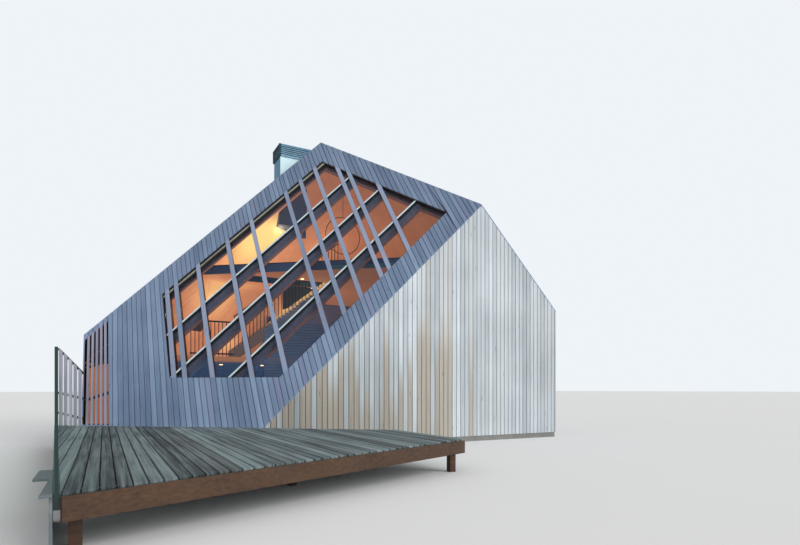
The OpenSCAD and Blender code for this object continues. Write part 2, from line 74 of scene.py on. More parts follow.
class Sock:
    """An output of a shader node, on which Python's operators add Math nodes."""

    def __init__(self, tree: Tree, source: bpy.types.NodeSocket) -> None:
        """Keeps the socket and the tree that it belongs to."""
        self.tree = tree
        self.source = source

    def maths(self, operation: str, *values: Value) -> Sock:
        """Adds one Math node to the tree."""
        return self.tree.add("ShaderNodeMath", {"operation": operation}, dict(enumerate(values)))

    def __add__(self, other: Value) -> Sock:
        """Sum."""
        return self.maths("ADD", self, other)

    __radd__ = __add__

    def __sub__(self, other: Value) -> Sock:
        """Difference."""
        return self.maths("SUBTRACT", self, other)

    def __rsub__(self, other: Value) -> Sock:
        """Difference, from the other value."""
        return self.maths("SUBTRACT", other, self)

    def __mul__(self, other: Value) -> Sock:
        """Product."""
        return self.maths("MULTIPLY", self, other)

    __rmul__ = __mul__

    def __truediv__(self, other: Value) -> Sock:
        """Quotient."""
        return self.maths("DIVIDE", self, other)

    def __pow__(self, other: Value) -> Sock:
        """Power."""
        return self.maths("POWER", self, other)

    def __abs__(self) -> Sock:
        """Size without its sign."""
        return self.maths("ABSOLUTE", self)

    def __gt__(self, other: Value) -> Sock:
        """One where this value is the greater, and otherwise zero."""
        return self.maths("GREATER_THAN", self, other)

    def repeat(self, length: float) -> Sock:
        """Distance from the nearest multiple of a length, from minus a half to a half of it."""
        return self.maths("WRAP", self, length / 2, -length / 2)

    def least(self, other: Value) -> Sock:
        """The smaller of two values."""
        return self.maths("MINIMUM", self, other)

    def most(self, other: Value) -> Sock:
        """The greater of two values."""
        return self.maths("MAXIMUM", self, other)

    def share(self) -> Sock:
        """The value kept between 0 and 1."""
        return self.least(1.0).most(0.0)

    def smooth(self, low: float, high: float) -> Sock:
        """Rises smoothly from 0 to 1 as this value goes from one limit to another.

        Args:
            low: The limit where the share is 0, which may be the greater of the two.
            high: The limit where it is 1.

        Returns:
            The share.
        """
        if low > high:
            return 1 - self.smooth(high, low)
        return self.tree.add(
            "ShaderNodeMapRange", {"interpolation_type": "SMOOTHSTEP"}, {"Value": self, 1: low, 2: high}
        )


class Tree:
    """The node tree of a material or a world, with the few nodes that the finishes share."""

    def __init__(self, owner: bpy.types.Material | bpy.types.World) -> None:
        """Starts a tree afresh.

        Args:
            owner: The material or the world that the tree belongs to.
        """
        owner.use_nodes = True
        self.nodes = owner.node_tree.nodes
        self.links = owner.node_tree.links
        self.nodes.clear()

    def add(
        self,
        kind: str,
        settings: dict[str, object] | None = None,
        sockets: dict[str | int, Value] | None = None,
        out: str | int = 0,
    ) -> Sock:
        """Adds any node.

        Args:
            kind: The node's type, as Blender names it.
            settings: Its properties, which are set first.
            sockets: A value or a link for each input, by name or number.
            out: The output to hand back, by name or number.

        Returns:
            The chosen output.
        """
        node = self.nodes.new(kind)
        for key, value in (settings or {}).items():
            setattr(node, key, value)
        for key, value in (sockets or {}).items():
            socket = node.inputs[key]
            if isinstance(value, Sock):
                self.links.new(value.source, socket)
            elif socket.type == "RGBA" and len(value) == 3:
                socket.default_value = (*value, 1.0)
            else:
                socket.default_value = value
        return Sock(self, node.outputs[out])

    def point(self) -> Sock:
        """The place on the piece, in metres."""
        return self.add("ShaderNodeTexCoord", out="Object")

    def uv(self, name: str) -> Sock:
        """One of the piece's own UV maps."""
        return self.add("ShaderNodeUVMap", {"uv_map": name})

    def split(self, vector: Sock) -> tuple[Sock, Sock, Sock]:
        """Takes a vector apart.

        Args:
            vector: The vector.

        Returns:
            Its three values.
        """
        first = self.add("ShaderNodeSeparateXYZ", sockets={0: vector})
        outputs = first.source.node.outputs
        return first, Sock(self, outputs[1]), Sock(self, outputs[2])

    def join(self, x: Value, y: Value, z: Value) -> Sock:
        """A vector of three values."""
        return self.add("ShaderNodeCombineXYZ", sockets={0: x, 1: y, 2: z})

    def stretch(self, values: Sequence[Sock], rates: Sequence[float]) -> Sock:
        """A vector of values, each times a rate of its own."""
        return self.join(*(value * rate for value, rate in zip(values, rates)))

    def dot(self, vector: Sock, direction: Vector) -> Sock:
        """How far a vector reaches in a direction."""
        settings = {"operation": "DOT_PRODUCT"}
        return self.add("ShaderNodeVectorMath", settings, {0: vector, 1: direction}, out="Value")

    def distance(self, vector: Sock, place: Vector) -> Sock:
        """Distance from a place."""
        settings = {"operation": "DISTANCE"}
        return self.add("ShaderNodeVectorMath", settings, {0: vector, 1: place}, out="Value")

    def noise(self, vector: Sock, scale: float, detail: float = 3.0, roughness: float = 0.5) -> Sock:
        """Soft noise from about 0.25 to 0.75."""
        sockets = {"Vector": vector, "Scale": scale, "Detail": detail, "Roughness": roughness}
        return self.add("ShaderNodeTexNoise", sockets=sockets)

    def mix(self, share: Value, first: Value, second: Value) -> Sock:
        """One colour turning into another."""
        return self.add("ShaderNodeMix", {"data_type": "RGBA"}, {0: share, 6: first, 7: second}, out=2)

    def shade(self, colour: Value, amount: Value) -> Sock:
        """A colour made lighter or darker by a factor."""
        settings = {"operation": "SCALE"}
        return self.add("ShaderNodeVectorMath", settings, {0: colour, "Scale": amount})

    def bump(self, height: Sock, distance: float, strength: float = 1.0) -> Sock:
        """A normal from a height between 0 and 1."""
        sockets = {"Height": height, "Distance": distance, "Strength": strength}
        return self.add("ShaderNodeBump", sockets=sockets)

    def surface(self, colour: Value, roughness: Value, normal: Sock | None = None, **more: Value) -> Sock:
        """A Principled shader.

        Args:
            colour: Its base colour.
            roughness: Its roughness.
            normal: A bumped normal, if it has one.
            more: Other inputs, with an underscore for each space in their names.

        Returns:
            The shader.
        """
        sockets = {"Base Color": colour, "Roughness": roughness}
        names = {"specular_ior_level": "Specular IOR Level"}
        sockets |= {names.get(name, name.replace("_", " ").title()): value for name, value in more.items()}
        if normal is not None:
            sockets["Normal"] = normal
        return self.add("ShaderNodeBsdfPrincipled", sockets=sockets)

    def finish(self, shader: Sock, output: str = "ShaderNodeOutputMaterial") -> None:
        """Links the shader to the tree's output."""
        self.links.new(shader.source, self.nodes.new(output).inputs["Surface"])


@dataclass(frozen=True)
class Finish(ABC):
    """The look of one kind of surface."""

    name: str
    slot: str

    @abstractmethod
    def shader(self, tree: Tree) -> Sock:
        """Builds the surface's nodes.

        Args:
            tree: The material's tree.

        Returns:
            The shader.
        """

    def material(self) -> bpy.types.Material:
        """Makes the material at its first use, and finds it after that.

        Returns:
            The material.
        """
        known = bpy.data.materials.get(self.name)
        if known is not None:
            return known
        material = bpy.data.materials.new(self.name)
        tree = Tree(material)
        tree.finish(self.shader(tree))
        return material


@dataclass(frozen=True)
class WeatheredBoards(Finish):
    """Timber boards gone grey, each with a tone of its own, grain along it and screws at the battens.

    They can turn tan low on the left, and darker there with painted shade, and darker towards the top and
    the right.
    Painted shade darkens every board along its edges beside the gaps. The rates say how often a pattern
    changes per metre along a board and across it, and how far it differs between boards.
    """

    pale: Colour
    deep: Colour
    tan: Colour
    width: float
    tan_share: float = 0.15
    spread: float = 0.30
    streaks: float = 0.9
    low_tan: float = 0.0
    low_edge: float = 3.0
    low_dark: float = 0.0
    high_dark: float = 0.0
    right_dark: float = 0.0

    STREAK_RATES = (0.55, 24, 60)
    FIBRE_RATES = (5, 210, 60)
    KNOT_RATES = (1.1, 7, 30)
    FIBRES = 0.35
    PATCHES = 0.7
    # Width and strength of the painted shade along each board's edges beside the gaps.
    EDGE_SHADE_WIDTH = 0.016
    EDGE_SHADE = 0.28
    KNOT_DARK = 0.42
    BATTEN_GAP = 0.60
    SCREW_INSET = 0.028
    SCREW_SIZE = 0.0045
    SCREW_COLOUR = (0.05, 0.05, 0.06)
    PATCH_RATE = 0.55
    KNOT_SIZE = (0.11, 0.05)
    LOW_Z = 0.3
    LOW_X = (4.5, -1.0)
    HIGH_Z = (1.0, 10.0)
    RIGHT_X = (2.0, 5.5)
    TAN_FULL = 1.15
    TAN_RATE = 0.75
    TAN_MOST = 0.85
    TAN_DARK = 0.7
    RIM = 0.001
    ROUGHNESS = 0.72
    RELIEF = 0.0025

    def shader(self, tree: Tree) -> Sock:
        """Builds the surface's nodes.

        Args:
            tree: The material's tree.

        Returns:
            The shader.
        """
        along, across, _ = tree.split(tree.uv("grain"))
        tone, hue, _ = tree.split(tree.uv("board"))
        place_x, _, height = tree.split(tree.point())
        streak = tree.noise(tree.stretch((along, across, tone), self.STREAK_RATES), 1.0, 5.0, 0.62)
        fibre = tree.noise(tree.stretch((along, across, hue), self.FIBRE_RATES), 1.0, 2.0)
        patch = tree.noise(tree.point(), self.PATCH_RATE, 2.0)
        knot_place = tree.stretch((along, across, tone), self.KNOT_RATES)
        cells = tree.add("ShaderNodeTexVoronoi", sockets={"Vector": knot_place, "Scale": 1.0})
        knots = cells.smooth(*self.KNOT_SIZE)
        light = (tone - 0.5) * self.spread + (streak - 0.5) * self.streaks
        light = light + (fibre - 0.5) * self.FIBRES + (patch - 0.5) * self.PATCHES
        colour = tree.mix((light + 0.5).share(), self.deep, self.pale)
        low = height.smooth(self.low_edge, self.LOW_Z) * place_x.smooth(*self.LOW_X)
        warmth = (hue + low * self.low_tan).smooth(1 - self.tan_share, self.TAN_FULL)
        warm = tree.mix((streak - 0.3) * 2, tree.shade(self.tan, self.TAN_DARK), self.tan)
        colour = tree.mix((warmth * self.TAN_RATE).least(self.TAN_MOST), colour, warm)
        half = self.width / 2
        # Painted shade darkens each board along its edges, beside the gaps.
        edge = abs(across).smooth(half - self.EDGE_SHADE_WIDTH, half - self.RIM)
        # Painted shade makes the boards darker low on the left; they are also made darker towards the top
        # and the right.
        darkening = (1 - low * self.low_dark) * (1 - height.smooth(*self.HIGH_Z) * self.high_dark)
        darkening = darkening * (1 - place_x.smooth(*self.RIGHT_X) * self.right_dark)
        colour = tree.shade(colour, (1 - edge * self.EDGE_SHADE) * (1 - knots * self.KNOT_DARK) * darkening)
        row = along.repeat(self.BATTEN_GAP)
        side = abs(across) - (half - self.SCREW_INSET)
        screw = ((row * row + side * side) ** 0.5).smooth(self.SCREW_SIZE, self.SCREW_SIZE * 0.6)
        colour = tree.mix(screw, colour, self.SCREW_COLOUR)
        height_map = streak * 0.5 + fibre * 0.5 - screw * 0.6 - knots * 0.2
        return tree.surface(colour, self.ROUGHNESS + fibre * 0.2, tree.bump(height_map, self.RELIEF))


@dataclass(frozen=True)
class PlainTimber(Finish):
    """Sawn or stained timber with its grain along one axis of the house."""

    pale: Colour
    deep: Colour
    axis: int = 0
    roughness: float = 0.6

    ALONG = 1.2
    ACROSS = 30.0
    PATCH_RATE = 1.4
    RELIEF = 0.0015

    def shader(self, tree: Tree) -> Sock:
        """Builds the surface's nodes.

        Args:
            tree: The material's tree.

        Returns:
            The shader.
        """
        point = tree.point()
        rates = [self.ALONG if number == self.axis else self.ACROSS for number in range(3)]
        streak = tree.noise(tree.stretch(tree.split(point), rates), 1.0, 4.0, 0.6)
        patch = tree.noise(point, self.PATCH_RATE, 2.0)
        share = ((streak - 0.5) * 1.6 + (patch - 0.5) * 0.8 + 0.5).share()
        colour = tree.mix(share, self.deep, self.pale)
        return tree.surface(colour, self.roughness, tree.bump(streak, self.RELIEF))


@dataclass(frozen=True)
class SheetMetal(Finish):
    """Painted or bare sheet with a faint grain and upright stains; left of a given x, the stains' colour
    also paints shade over its left side.
    """

    colour: Colour
    stain_and_shade: Colour
    roughness: float
    metallic: float = 0.0
    stain_share: float = 0.35
    shaded_side_x: float | None = None

    RUN_RATES = (14, 14, 0.9)
    PATCH_RATE = 2.2
    FINE_RATE = 160.0
    SKIN = 0.002
    # Least share of the painted shade on the left side, and how much the stains' runs add to it.
    SHADE_LEAST = 0.72
    SHADE_RUNS = 0.5
    RELIEF = 0.0004

    def shader(self, tree: Tree) -> Sock:
        """Builds the surface's nodes.

        Args:
            tree: The material's tree.

        Returns:
            The shader.
        """
        point = tree.point()
        place = tree.split(point)
        runs = tree.noise(tree.stretch(place, self.RUN_RATES), 1.0, 4.0, 0.6)
        patch = tree.noise(point, self.PATCH_RATE, 3.0)
        fine = tree.noise(point, self.FINE_RATE, 2.0)
        share = (runs.smooth(0.5, 0.75) * 0.6 + patch.smooth(0.5, 0.7) * 0.6) * self.stain_share
        # Painted shade, in the stains' colour, covers the side left of the given x.
        if self.shaded_side_x is not None:
            side = place[0].smooth(self.shaded_side_x + 2 * self.SKIN, self.shaded_side_x + self.SKIN)
            share = share.most(side * (self.SHADE_LEAST + runs * self.SHADE_RUNS))
        colour = tree.mix(share, self.colour, self.stain_and_shade)
        rough = self.roughness + patch * 0.18 + fine * 0.06
        return tree.surface(colour, rough, tree.bump(fine, self.RELIEF, 0.6), metallic=self.metallic)


@dataclass(frozen=True)
class Mineral(Finish):
    """Cast concrete with pores, cloudy tones and the lines of its formwork boards."""

    colour: Colour
    deep: Colour

    CLOUD_RATE = 2.5
    PORE_RATE = 55.0
    PORE_SIZE = (0.62, 0.7)
    FORM_BOARD = 0.15
    LINE_T = 0.004
    RELIEF = 0.004

    def shader(self, tree: Tree) -> Sock:
        """Builds the surface's nodes.

        Args:
            tree: The material's tree.

        Returns:
            The shader.
        """
        point = tree.point()
        _, _, height = tree.split(point)
        cloud = tree.noise(point, self.CLOUD_RATE, 5.0, 0.6)
        pores = tree.noise(point, self.PORE_RATE, 2.0).smooth(*self.PORE_SIZE)
        lines = abs(height.repeat(self.FORM_BOARD)).smooth(self.LINE_T, 0.0)
        colour = tree.mix((cloud - 0.2) * 1.5, self.deep, self.colour)
        colour = tree.shade(colour, 1 - (pores * 0.25).most(lines * 0.3))
        return tree.surface(colour, 0.85, tree.bump(cloud - pores * 0.5 - lines * 0.5, self.RELIEF))


@dataclass(frozen=True)
class Glazing(Finish):
    """Clear glass that mirrors more at a slant, where a thick pane also shows its own colour."""

    tint: Colour
    mirror: Colour
    facing: float = 0.05
    edge: Colour | None = None

    FILM_RATE = 1.6
    RISE = 5.0
    EDGE = (0.78, 0.92)

    def shader(self, tree: Tree) -> Sock:
        """Builds the surface's nodes.

        Args:
            tree: The material's tree.

        Returns:
            The shader.
        """
        film = tree.noise(tree.point(), self.FILM_RATE, 3.0)
        slant = tree.add("ShaderNodeLayerWeight", sockets={"Blend": 0.5}, out="Facing")
        share = slant ** self.RISE * (1 - self.facing) + self.facing
        mirror = tree.surface(self.mirror, 0.02 + film * 0.06, metallic=1.0)
        clear = tree.add("ShaderNodeBsdfTransparent", sockets={0: self.tint})
        pane = tree.add("ShaderNodeMixShader", sockets={0: share, 1: clear, 2: mirror})
        if self.edge is None:
            return pane
        body = tree.surface(self.edge, 0.4, specular_ior_level=0.1)
        edge = slant.smooth(*self.EDGE)
        return tree.add("ShaderNodeMixShader", sockets={0: edge, 1: pane, 2: body})


@dataclass(frozen=True)
class Lamp:
    """A warm light in the rooms: its place, its power in watts, and the reach and strength of the glow that
    it paints on the wood.
    """

    place: Vector
    power: float
    reach: float
    glow: float


@dataclass(frozen=True)
class RoomLight:
    """The evening light of the rooms, painted on the wood: a glow round each lamp, which the wood gives off
    itself, and a dusk colour in the rooms low on the right, which paints their shade together with the
    evening sky mirrored in the glass.

    It is dusky right of dusk_x and under dusk_z, and everywhere right of cellar_x under cellar_z.
    """

    lamps: tuple[Lamp, ...] = (
        Lamp(Vector((-1.23, 0.80, 7.14)), power=10.0, reach=0.35, glow=2.20),
        Lamp(Vector((-2.20, 0.55, 6.80)), power=0.0, reach=1.30, glow=1.65),
        Lamp(Vector((-3.50, 1.20, 4.60)), power=10.0, reach=1.80, glow=1.05),
        Lamp(Vector((-2.60, 3.00, 3.20)), power=0.0, reach=0.80, glow=0.90),
        Lamp(Vector((-0.05, 3.75, 4.85)), power=0.0, reach=0.60, glow=1.30),
        Lamp(Vector((0.40, 0.90, 6.00)), power=6.0, reach=1.60, glow=0.45),
        Lamp(Vector((1.00, 2.50, 7.10)), power=0.0, reach=0.90, glow=0.90),
        Lamp(Vector((3.40, 4.90, 6.00)), power=0.0, reach=1.80, glow=0.30),
        Lamp(Vector((-6.60, 0.00, 1.70)), power=0.0, reach=1.20, glow=0.26),
    )
    colour: Colour = (1.0, 0.68, 0.36)
    base: float = 0.34
    bright: Colour = srgb(255, 218, 132)
    bright_from: float = 1.1
    bright_full: float = 2.2
    glow_most: float = 1.35
    dusk: Colour = srgb(44, 60, 84)
    dusk_x: float = -0.9
    dusk_z: float = 4.45
    dusk_soft: float = 0.3
    dusk_rise: float = 0.02
    cellar_x: float = -6.0
    cellar_z: float = 2.34
    cellar_soft: float = 0.2
    cellar_rise: float = 0.1

    FALL = -1.5

    def glow(self, tree: Tree, point: Sock) -> Sock:
        """Adds up the painted glow of the lamps, each of which falls off over its reach.

        Args:
            tree: The material's tree.
            point: The place on the piece.

        Returns:
            How strongly their painted glow lights the place.
        """
        total: Sock | float = self.base
        for lamp in self.lamps:
            far = tree.distance(point, lamp.place) / lamp.reach
            total = lamp.glow * (1 + far * far) ** self.FALL + total
        return total

    def dark(self, tree: Tree, point: Sock) -> Sock:
        """Tells the dusky rooms from the lit ones.

        Args:
            tree: The material's tree.
            point: The place on the piece.

        Returns:
            One in the dusky rooms, zero in the lit ones.
        """
        x, _, z = tree.split(point)
        right = x.smooth(self.dusk_x - self.dusk_soft, self.dusk_x)
        right = right * z.smooth(self.dusk_z + self.dusk_rise, self.dusk_z)
        low = z.smooth(self.cellar_z + self.cellar_rise, self.cellar_z)
        low = low * x.smooth(self.cellar_x - self.cellar_soft, self.cellar_x + self.cellar_soft)
        return right.most(low)

    def lit(self, tree: Tree, point: Sock, wood: Sock) -> tuple[Sock, Sock]:
        """Paints the rooms' glow, and the dusk colour of the dusky rooms, on wood.

        Args:
            tree: The material's tree.
            point: The place on the piece.
            wood: The wood's own colour.

        Returns:
            The base colour and the emission colour.
        """
        glow = self.glow(tree, point)
        dark = self.dark(tree, point)
        warm = tree.mix(glow.smooth(self.bright_from, self.bright_full), wood, self.bright)
        light = tree.mix(dark, tree.shade(warm, glow.least(self.glow_most)), self.dusk)
        return tree.mix(dark, tree.shade(wood, 0.5), self.dusk), light


@dataclass(frozen=True)
class Lining(Finish):
    """Wooden panels on a piece's inner side, with the rooms' painted glow, and one dark colour on its outer
    side: felt on the slabs, painted shade beside the glass on the window's members.

    The wood turns to the dim colour, a painted shade, between dim_high and dim_low, where the piece has one.
    """

    normal: Vector
    inner: float
    wood: Colour
    deep: Colour
    felt: Colour
    light: RoomLight
    panel_axis: Vector = Vector((0, 1, 0))
    dim: Colour | None = None
    dim_low: float = 0.0
    dim_high: float = 0.0

    PANEL = 1.22
    JOINT = (0.006, 0.002)
    SKIN = 0.004
    SKIN_FADE = 0.012
    PATCH_RATE = 0.5
    FELT_RATE = 9.0

    def shader(self, tree: Tree) -> Sock:
        """Builds the surface's nodes.

        Args:
            tree: The material's tree.

        Returns:
            The shader.
        """
        point = tree.point()
        place = tree.split(point)
        inside = tree.dot(point, self.normal).smooth(self.inner + self.SKIN_FADE, self.inner + self.SKIN)
        streak = tree.noise(tree.stretch(place, WOOD_GRAIN), 1.0, 4.0, 0.6)
        patch = tree.noise(point, self.PATCH_RATE, 2.0)
        joint = abs(tree.dot(point, self.panel_axis).repeat(self.PANEL)).smooth(*self.JOINT)
        wood = tree.mix((streak - 0.5) * 1.2 + patch, self.deep, self.wood)
        wood = tree.shade(wood, 1 - joint * 0.5)
        if self.dim is not None:
            wood = tree.mix(place[2].smooth(self.dim_high, self.dim_low), wood, self.dim)
        # On the window's members this outer colour is painted shade.
        felt = tree.shade(self.felt, 0.6 + tree.noise(point, self.FELT_RATE, 3.0) * 0.8)
        base, light = self.light.lit(tree, point, wood)
        colour = tree.mix(inside, felt, base)
        return tree.surface(
            colour, 0.8 - inside * 0.2, emission_color=tree.shade(light, inside), emission_strength=1.0
        )


@dataclass(frozen=True)
class FloorEdge(Finish):
    """Wood with a painted edge that has a dark line on top and a teal strip low on the right."""

    under: float
    top: float
    wood: Colour
    deep: Colour
    band: Colour
    teal: Colour
    light: RoomLight

    LINE = (0.008, 0.008, 0.012)
    LINE_T = 0.045
    TEAL_T = 0.15
    TEAL_X = -0.75
    SOFT = 0.004
    LIP = 0.002
    UNDER_LIP = 0.008
    TOP_LIP = 0.006

    def shader(self, tree: Tree) -> Sock:
        """Builds the surface's nodes.

        Args:
            tree: The material's tree.

        Returns:
            The shader.
        """
        point = tree.point()
        place = tree.split(point)
        x, _, z = place
        streak = tree.noise(tree.stretch(place, WOOD_GRAIN), 1.0, 4.0, 0.6)
        wood = tree.mix(streak * 1.4 - 0.2, self.deep, self.wood)
        # The wood carries the rooms' painted glow and dusk colour.
        base, light = self.light.lit(tree, point, wood)
        edge = z.smooth(self.under + self.LIP, self.under + self.UNDER_LIP)
        edge = edge * z.smooth(self.top - self.LIP, self.top - self.TOP_LIP)
        low = z.smooth(self.under + self.TEAL_T + self.SOFT, self.under + self.TEAL_T) * (x > self.TEAL_X)
        line = z.smooth(self.top - self.LINE_T - self.SOFT, self.top - self.LINE_T) * edge
        painted = tree.shade(tree.mix(low, self.band, self.teal), 0.8 + streak * 0.4)
        painted = tree.mix(line, painted, self.LINE)
        colour = tree.mix(edge, base, painted)
        return tree.surface(colour, 0.55, emission_color=tree.shade(light, 1 - edge), emission_strength=1.0)


@dataclass(frozen=True)
class Glow(Finish):
    """The bright face of a small lamp, paler in its middle."""

    colour: Colour
    place: Vector
    radius: float
    strength: float

    CORE = (1.0, 0.9, 0.65)

    def shader(self, tree: Tree) -> Sock:
        """Builds the surface's nodes.

        Args:
            tree: The material's tree.

        Returns:
            The shader.
        """
        middle = tree.distance(tree.point(), self.place).smooth(self.radius, 0.0)
        light = tree.mix(middle, self.colour, self.CORE)
        return tree.surface(self.colour, 0.5, emission_color=light, emission_strength=self.strength)


class Way(Enum):
    """Directions of the house."""

    RIGHT = Vector((1, 0, 0))
    BACK = Vector((0, 1, 0))
    UP = Vector((0, 0, 1))


class MeshKit:
    """Steps that several pieces share: copies, cuts, bevels, boards' marks and finished objects."""

    FLAT = math.radians(0.5)
    BEVEL_FROM = math.radians(25)

    @staticmethod
    def copy_of(node: str) -> bmesh.types.BMesh:
        """Copies a CAD node's mesh.

        Args:
            node: The node's name.

        Returns:
            The copy, with its doubles merged.
        """
        shape = bmesh.new()
        shape.from_mesh(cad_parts[node].data)
        bmesh.ops.remove_doubles(shape, verts=shape.verts, dist=TINY)
        return shape

    @staticmethod
    def keep_between(shape: bmesh.types.BMesh, axis: Vector, low: float, high: float) -> None:
        """Cuts a closed shape down to what lies between two planes, and closes the cuts.

        Args:
            shape: The shape.
            axis: The normal that both planes share.
            low: How far along it the first plane lies.
            high: How far along it the second one lies.
        """
        for limit, side in ((low, -1), (high, 1)):
            geometry = shape.verts[:] + shape.edges[:] + shape.faces[:]
            cut = bmesh.ops.bisect_plane(
                shape, geom=geometry, dist=TINY, plane_co=axis * limit, plane_no=axis * side,
                clear_outer=True,
            )
            edges = [part for part in cut["geom_cut"] if isinstance(part, bmesh.types.BMEdge)]
            if edges:
                bmesh.ops.holes_fill(shape, edges=edges, sides=0)

    @classmethod
    def soften(cls, shape: bmesh.types.BMesh, width: float, segments: int = 1) -> None:
        """Joins flat faces, then bevels every sharp edge.

        Args:
            shape: The shape.
            width: The bevel's width.
            segments: Its number of steps.
        """
        bmesh.ops.dissolve_limit(shape, angle_limit=cls.FLAT, verts=shape.verts, edges=shape.edges)
        manifold = (edge for edge in shape.edges if edge.is_manifold)
        sharp = [edge for edge in manifold if edge.calc_face_angle(0) > cls.BEVEL_FROM]
        bmesh.ops.bevel(
            shape, geom=sharp, offset=width, offset_type="OFFSET", segments=segments, profile=0.5,
            affect="EDGES", material=-1, clamp_overlap=True,
        )

    @staticmethod
    def add_to(whole: bmesh.types.BMesh, part: bmesh.types.BMesh) -> None:
        """Adds one shape to another and frees it.

        Args:
            whole: The shape that grows.
            part: The one that is added.
        """
        between = bpy.data.meshes.new("between")
        part.to_mesh(between)
        part.free()
        whole.from_mesh(between)
        bpy.data.meshes.remove(between)

    @staticmethod
    def islands(shape: bmesh.types.BMesh) -> Iterator[list[bmesh.types.BMFace]]:
        """Goes through the separate solids of a shape.

        Args:
            shape: The shape.

        Yields:
            The faces of each solid in turn.
        """
        seen: set[bmesh.types.BMFace] = set()
        for start in shape.faces:
            if start in seen:
                continue
            seen.add(start)
            island = [start]
            for face in island:
                for edge in face.edges:
                    for other in edge.link_faces:
                        if other not in seen:
                            seen.add(other)
                            island.append(other)
            yield island

    @classmethod
    def middles(cls, shape: bmesh.types.BMesh, axis: Vector) -> list[float]:
        """Finds where the separate solids of a shape have their middles along an axis.

        Args:
            shape: The shape.
            axis: The axis.

        Returns:
            Each place once, in order.
        """
        found = set()
        for island in cls.islands(shape):
            reach = [vert.co.dot(axis) for face in island for vert in face.verts]
            found.add(round((min(reach) + max(reach)) / 2, 2))
        return sorted(found)

    @staticmethod
    def bar(size: Vector, place: Matrix) -> bmesh.types.BMesh:
        """Makes a block.

        Args:
            size: Its size.
            place: The place and turn of its middle.

        Returns:
            The block.
        """
        shape = bmesh.new()
        bmesh.ops.create_cube(shape, size=1.0, matrix=place @ Matrix.Diagonal((*size, 1.0)))
        return shape

    @staticmethod
    def block(low: Vector, high: Vector) -> bmesh.types.BMesh:
        """A block between two corners, square to the house."""
        return MeshKit.bar(high - low, Matrix.Translation((low + high) / 2))

    @staticmethod
    def piece(
        name: str, shape: bmesh.types.BMesh, finish: Finish, nodes: Sequence[str] = (), smooth: bool = False
    ) -> bpy.types.Object:
        """Makes a finished object of a shape.

        Args:
            name: The object's name.
            shape: Its mesh, which is freed.
            finish: Its surface.
            nodes: The CAD nodes that it stands for.
            smooth: Whether its faces are shaded smooth.

        Returns:
            The object, which rides on the house.
        """
        mesh = bpy.data.meshes.new(name)
        shape.to_mesh(mesh)
        shape.free()
        if smooth:
            mesh.shade_smooth()
        mesh.materials.append(finish.material())
        made = bpy.data.objects.new(name, mesh)
        bpy.context.scene.collection.objects.link(made)
        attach(made, "root")
        if nodes:
            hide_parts(*nodes)
        log.info("%s: %d faces", name, len(mesh.polygons))
        return made

    @staticmethod
    def dress(finish: Finish, *nodes: str) -> None:
        """Gives a finished surface to CAD nodes whose shape stays.

        Args:
            finish: The surface.
            nodes: The nodes' names.
        """
        for node in nodes:
            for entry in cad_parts[node].material_slots:
                entry.material = finish.material()
            log.info("%s: %s", node, finish.name)


@dataclass(frozen=True)
class BoardLayout:
    """How boards lie on a face: along a direction, across another, with one board's middle at a point."""

    along: Vector
    across: Vector
    middle: Vector
    pitch: float
    gap: float = 0.011
    edge: float = 0.0022

    @property
    def width(self) -> float:
        """Face width of one board."""
        return self.pitch - self.gap

    def lay(self, node: str, draw: random.Random) -> bmesh.types.BMesh:
        """Cuts a CAD sheet into single boards.

        Args:
            node: The sheet's node.
            draw: The random draws for the boards' tones.

        Returns:
            All its boards in one mesh, with their marks.
        """
        sheet = MeshKit.copy_of(node)
        start = self.middle.dot(self.across)
        reach = [vert.co.dot(self.across) - start for vert in sheet.verts]
        whole = bmesh.new()
        for number in range(math.floor(min(reach) / self.pitch), math.ceil(max(reach) / self.pitch) + 1):
            middle = start + number * self.pitch
            strip = sheet.copy()
            MeshKit.keep_between(strip, self.across, middle - self.width / 2, middle + self.width / 2)
            if strip.faces:
                MeshKit.soften(strip, self.edge)
            MeshKit.add_to(whole, strip)
        sheet.free()
        self.mark(whole, draw)
        return whole

    def mark(self, whole: bmesh.types.BMesh, draw: random.Random) -> None:
        """Gives every board its grain coordinates and its own tone and hue.

        Args:
            whole: The boards' mesh.
            draw: The random draws for the boards' tones.
        """
        grain = whole.loops.layers.uv.new("grain")
        board = whole.loops.layers.uv.new("board")
        start = self.middle.dot(self.across)
        for island in MeshKit.islands(whole):
            reach = [vert.co.dot(self.across) - start for face in island for vert in face.verts]
            middle = round((min(reach) + max(reach)) / 2 / self.pitch) * self.pitch
            own = (draw.random(), draw.random())
            for face in island:
                for loop in face.loops:
                    spot = loop.vert.co
                    loop[grain].uv = (spot.dot(self.along), spot.dot(self.across) - start - middle)
                    loop[board].uv = own


def mark_bars(whole: bmesh.types.BMesh, draw: random.Random) -> None:
    """Gives every bar of a mesh grain along its longest side, and its own tone and hue.

    Args:
        whole: The bars' mesh.
        draw: The random draws for the bars' tones.
    """
    grain = whole.loops.layers.uv.new("grain")
    board = whole.loops.layers.uv.new("board")
    for island in MeshKit.islands(whole):
        verts = {vert for face in island for vert in face.verts}
        middle = sum((vert.co for vert in verts), Vector()) / len(verts)
        edges = (edge for face in island for edge in face.edges)
        long_edge = max(edges, key=lambda edge: edge.calc_length())
        along = (long_edge.verts[1].co - long_edge.verts[0].co).normalized()
        widest = max(island, key=lambda face: face.calc_area())
        across = widest.normal.cross(along).normalized()
        own = (draw.random(), draw.random())
        for face in island:
            for loop in face.loops:
                spot = loop.vert.co - middle
                loop[grain].uv = (spot.dot(along), spot.dot(across))
                loop[board].uv = own


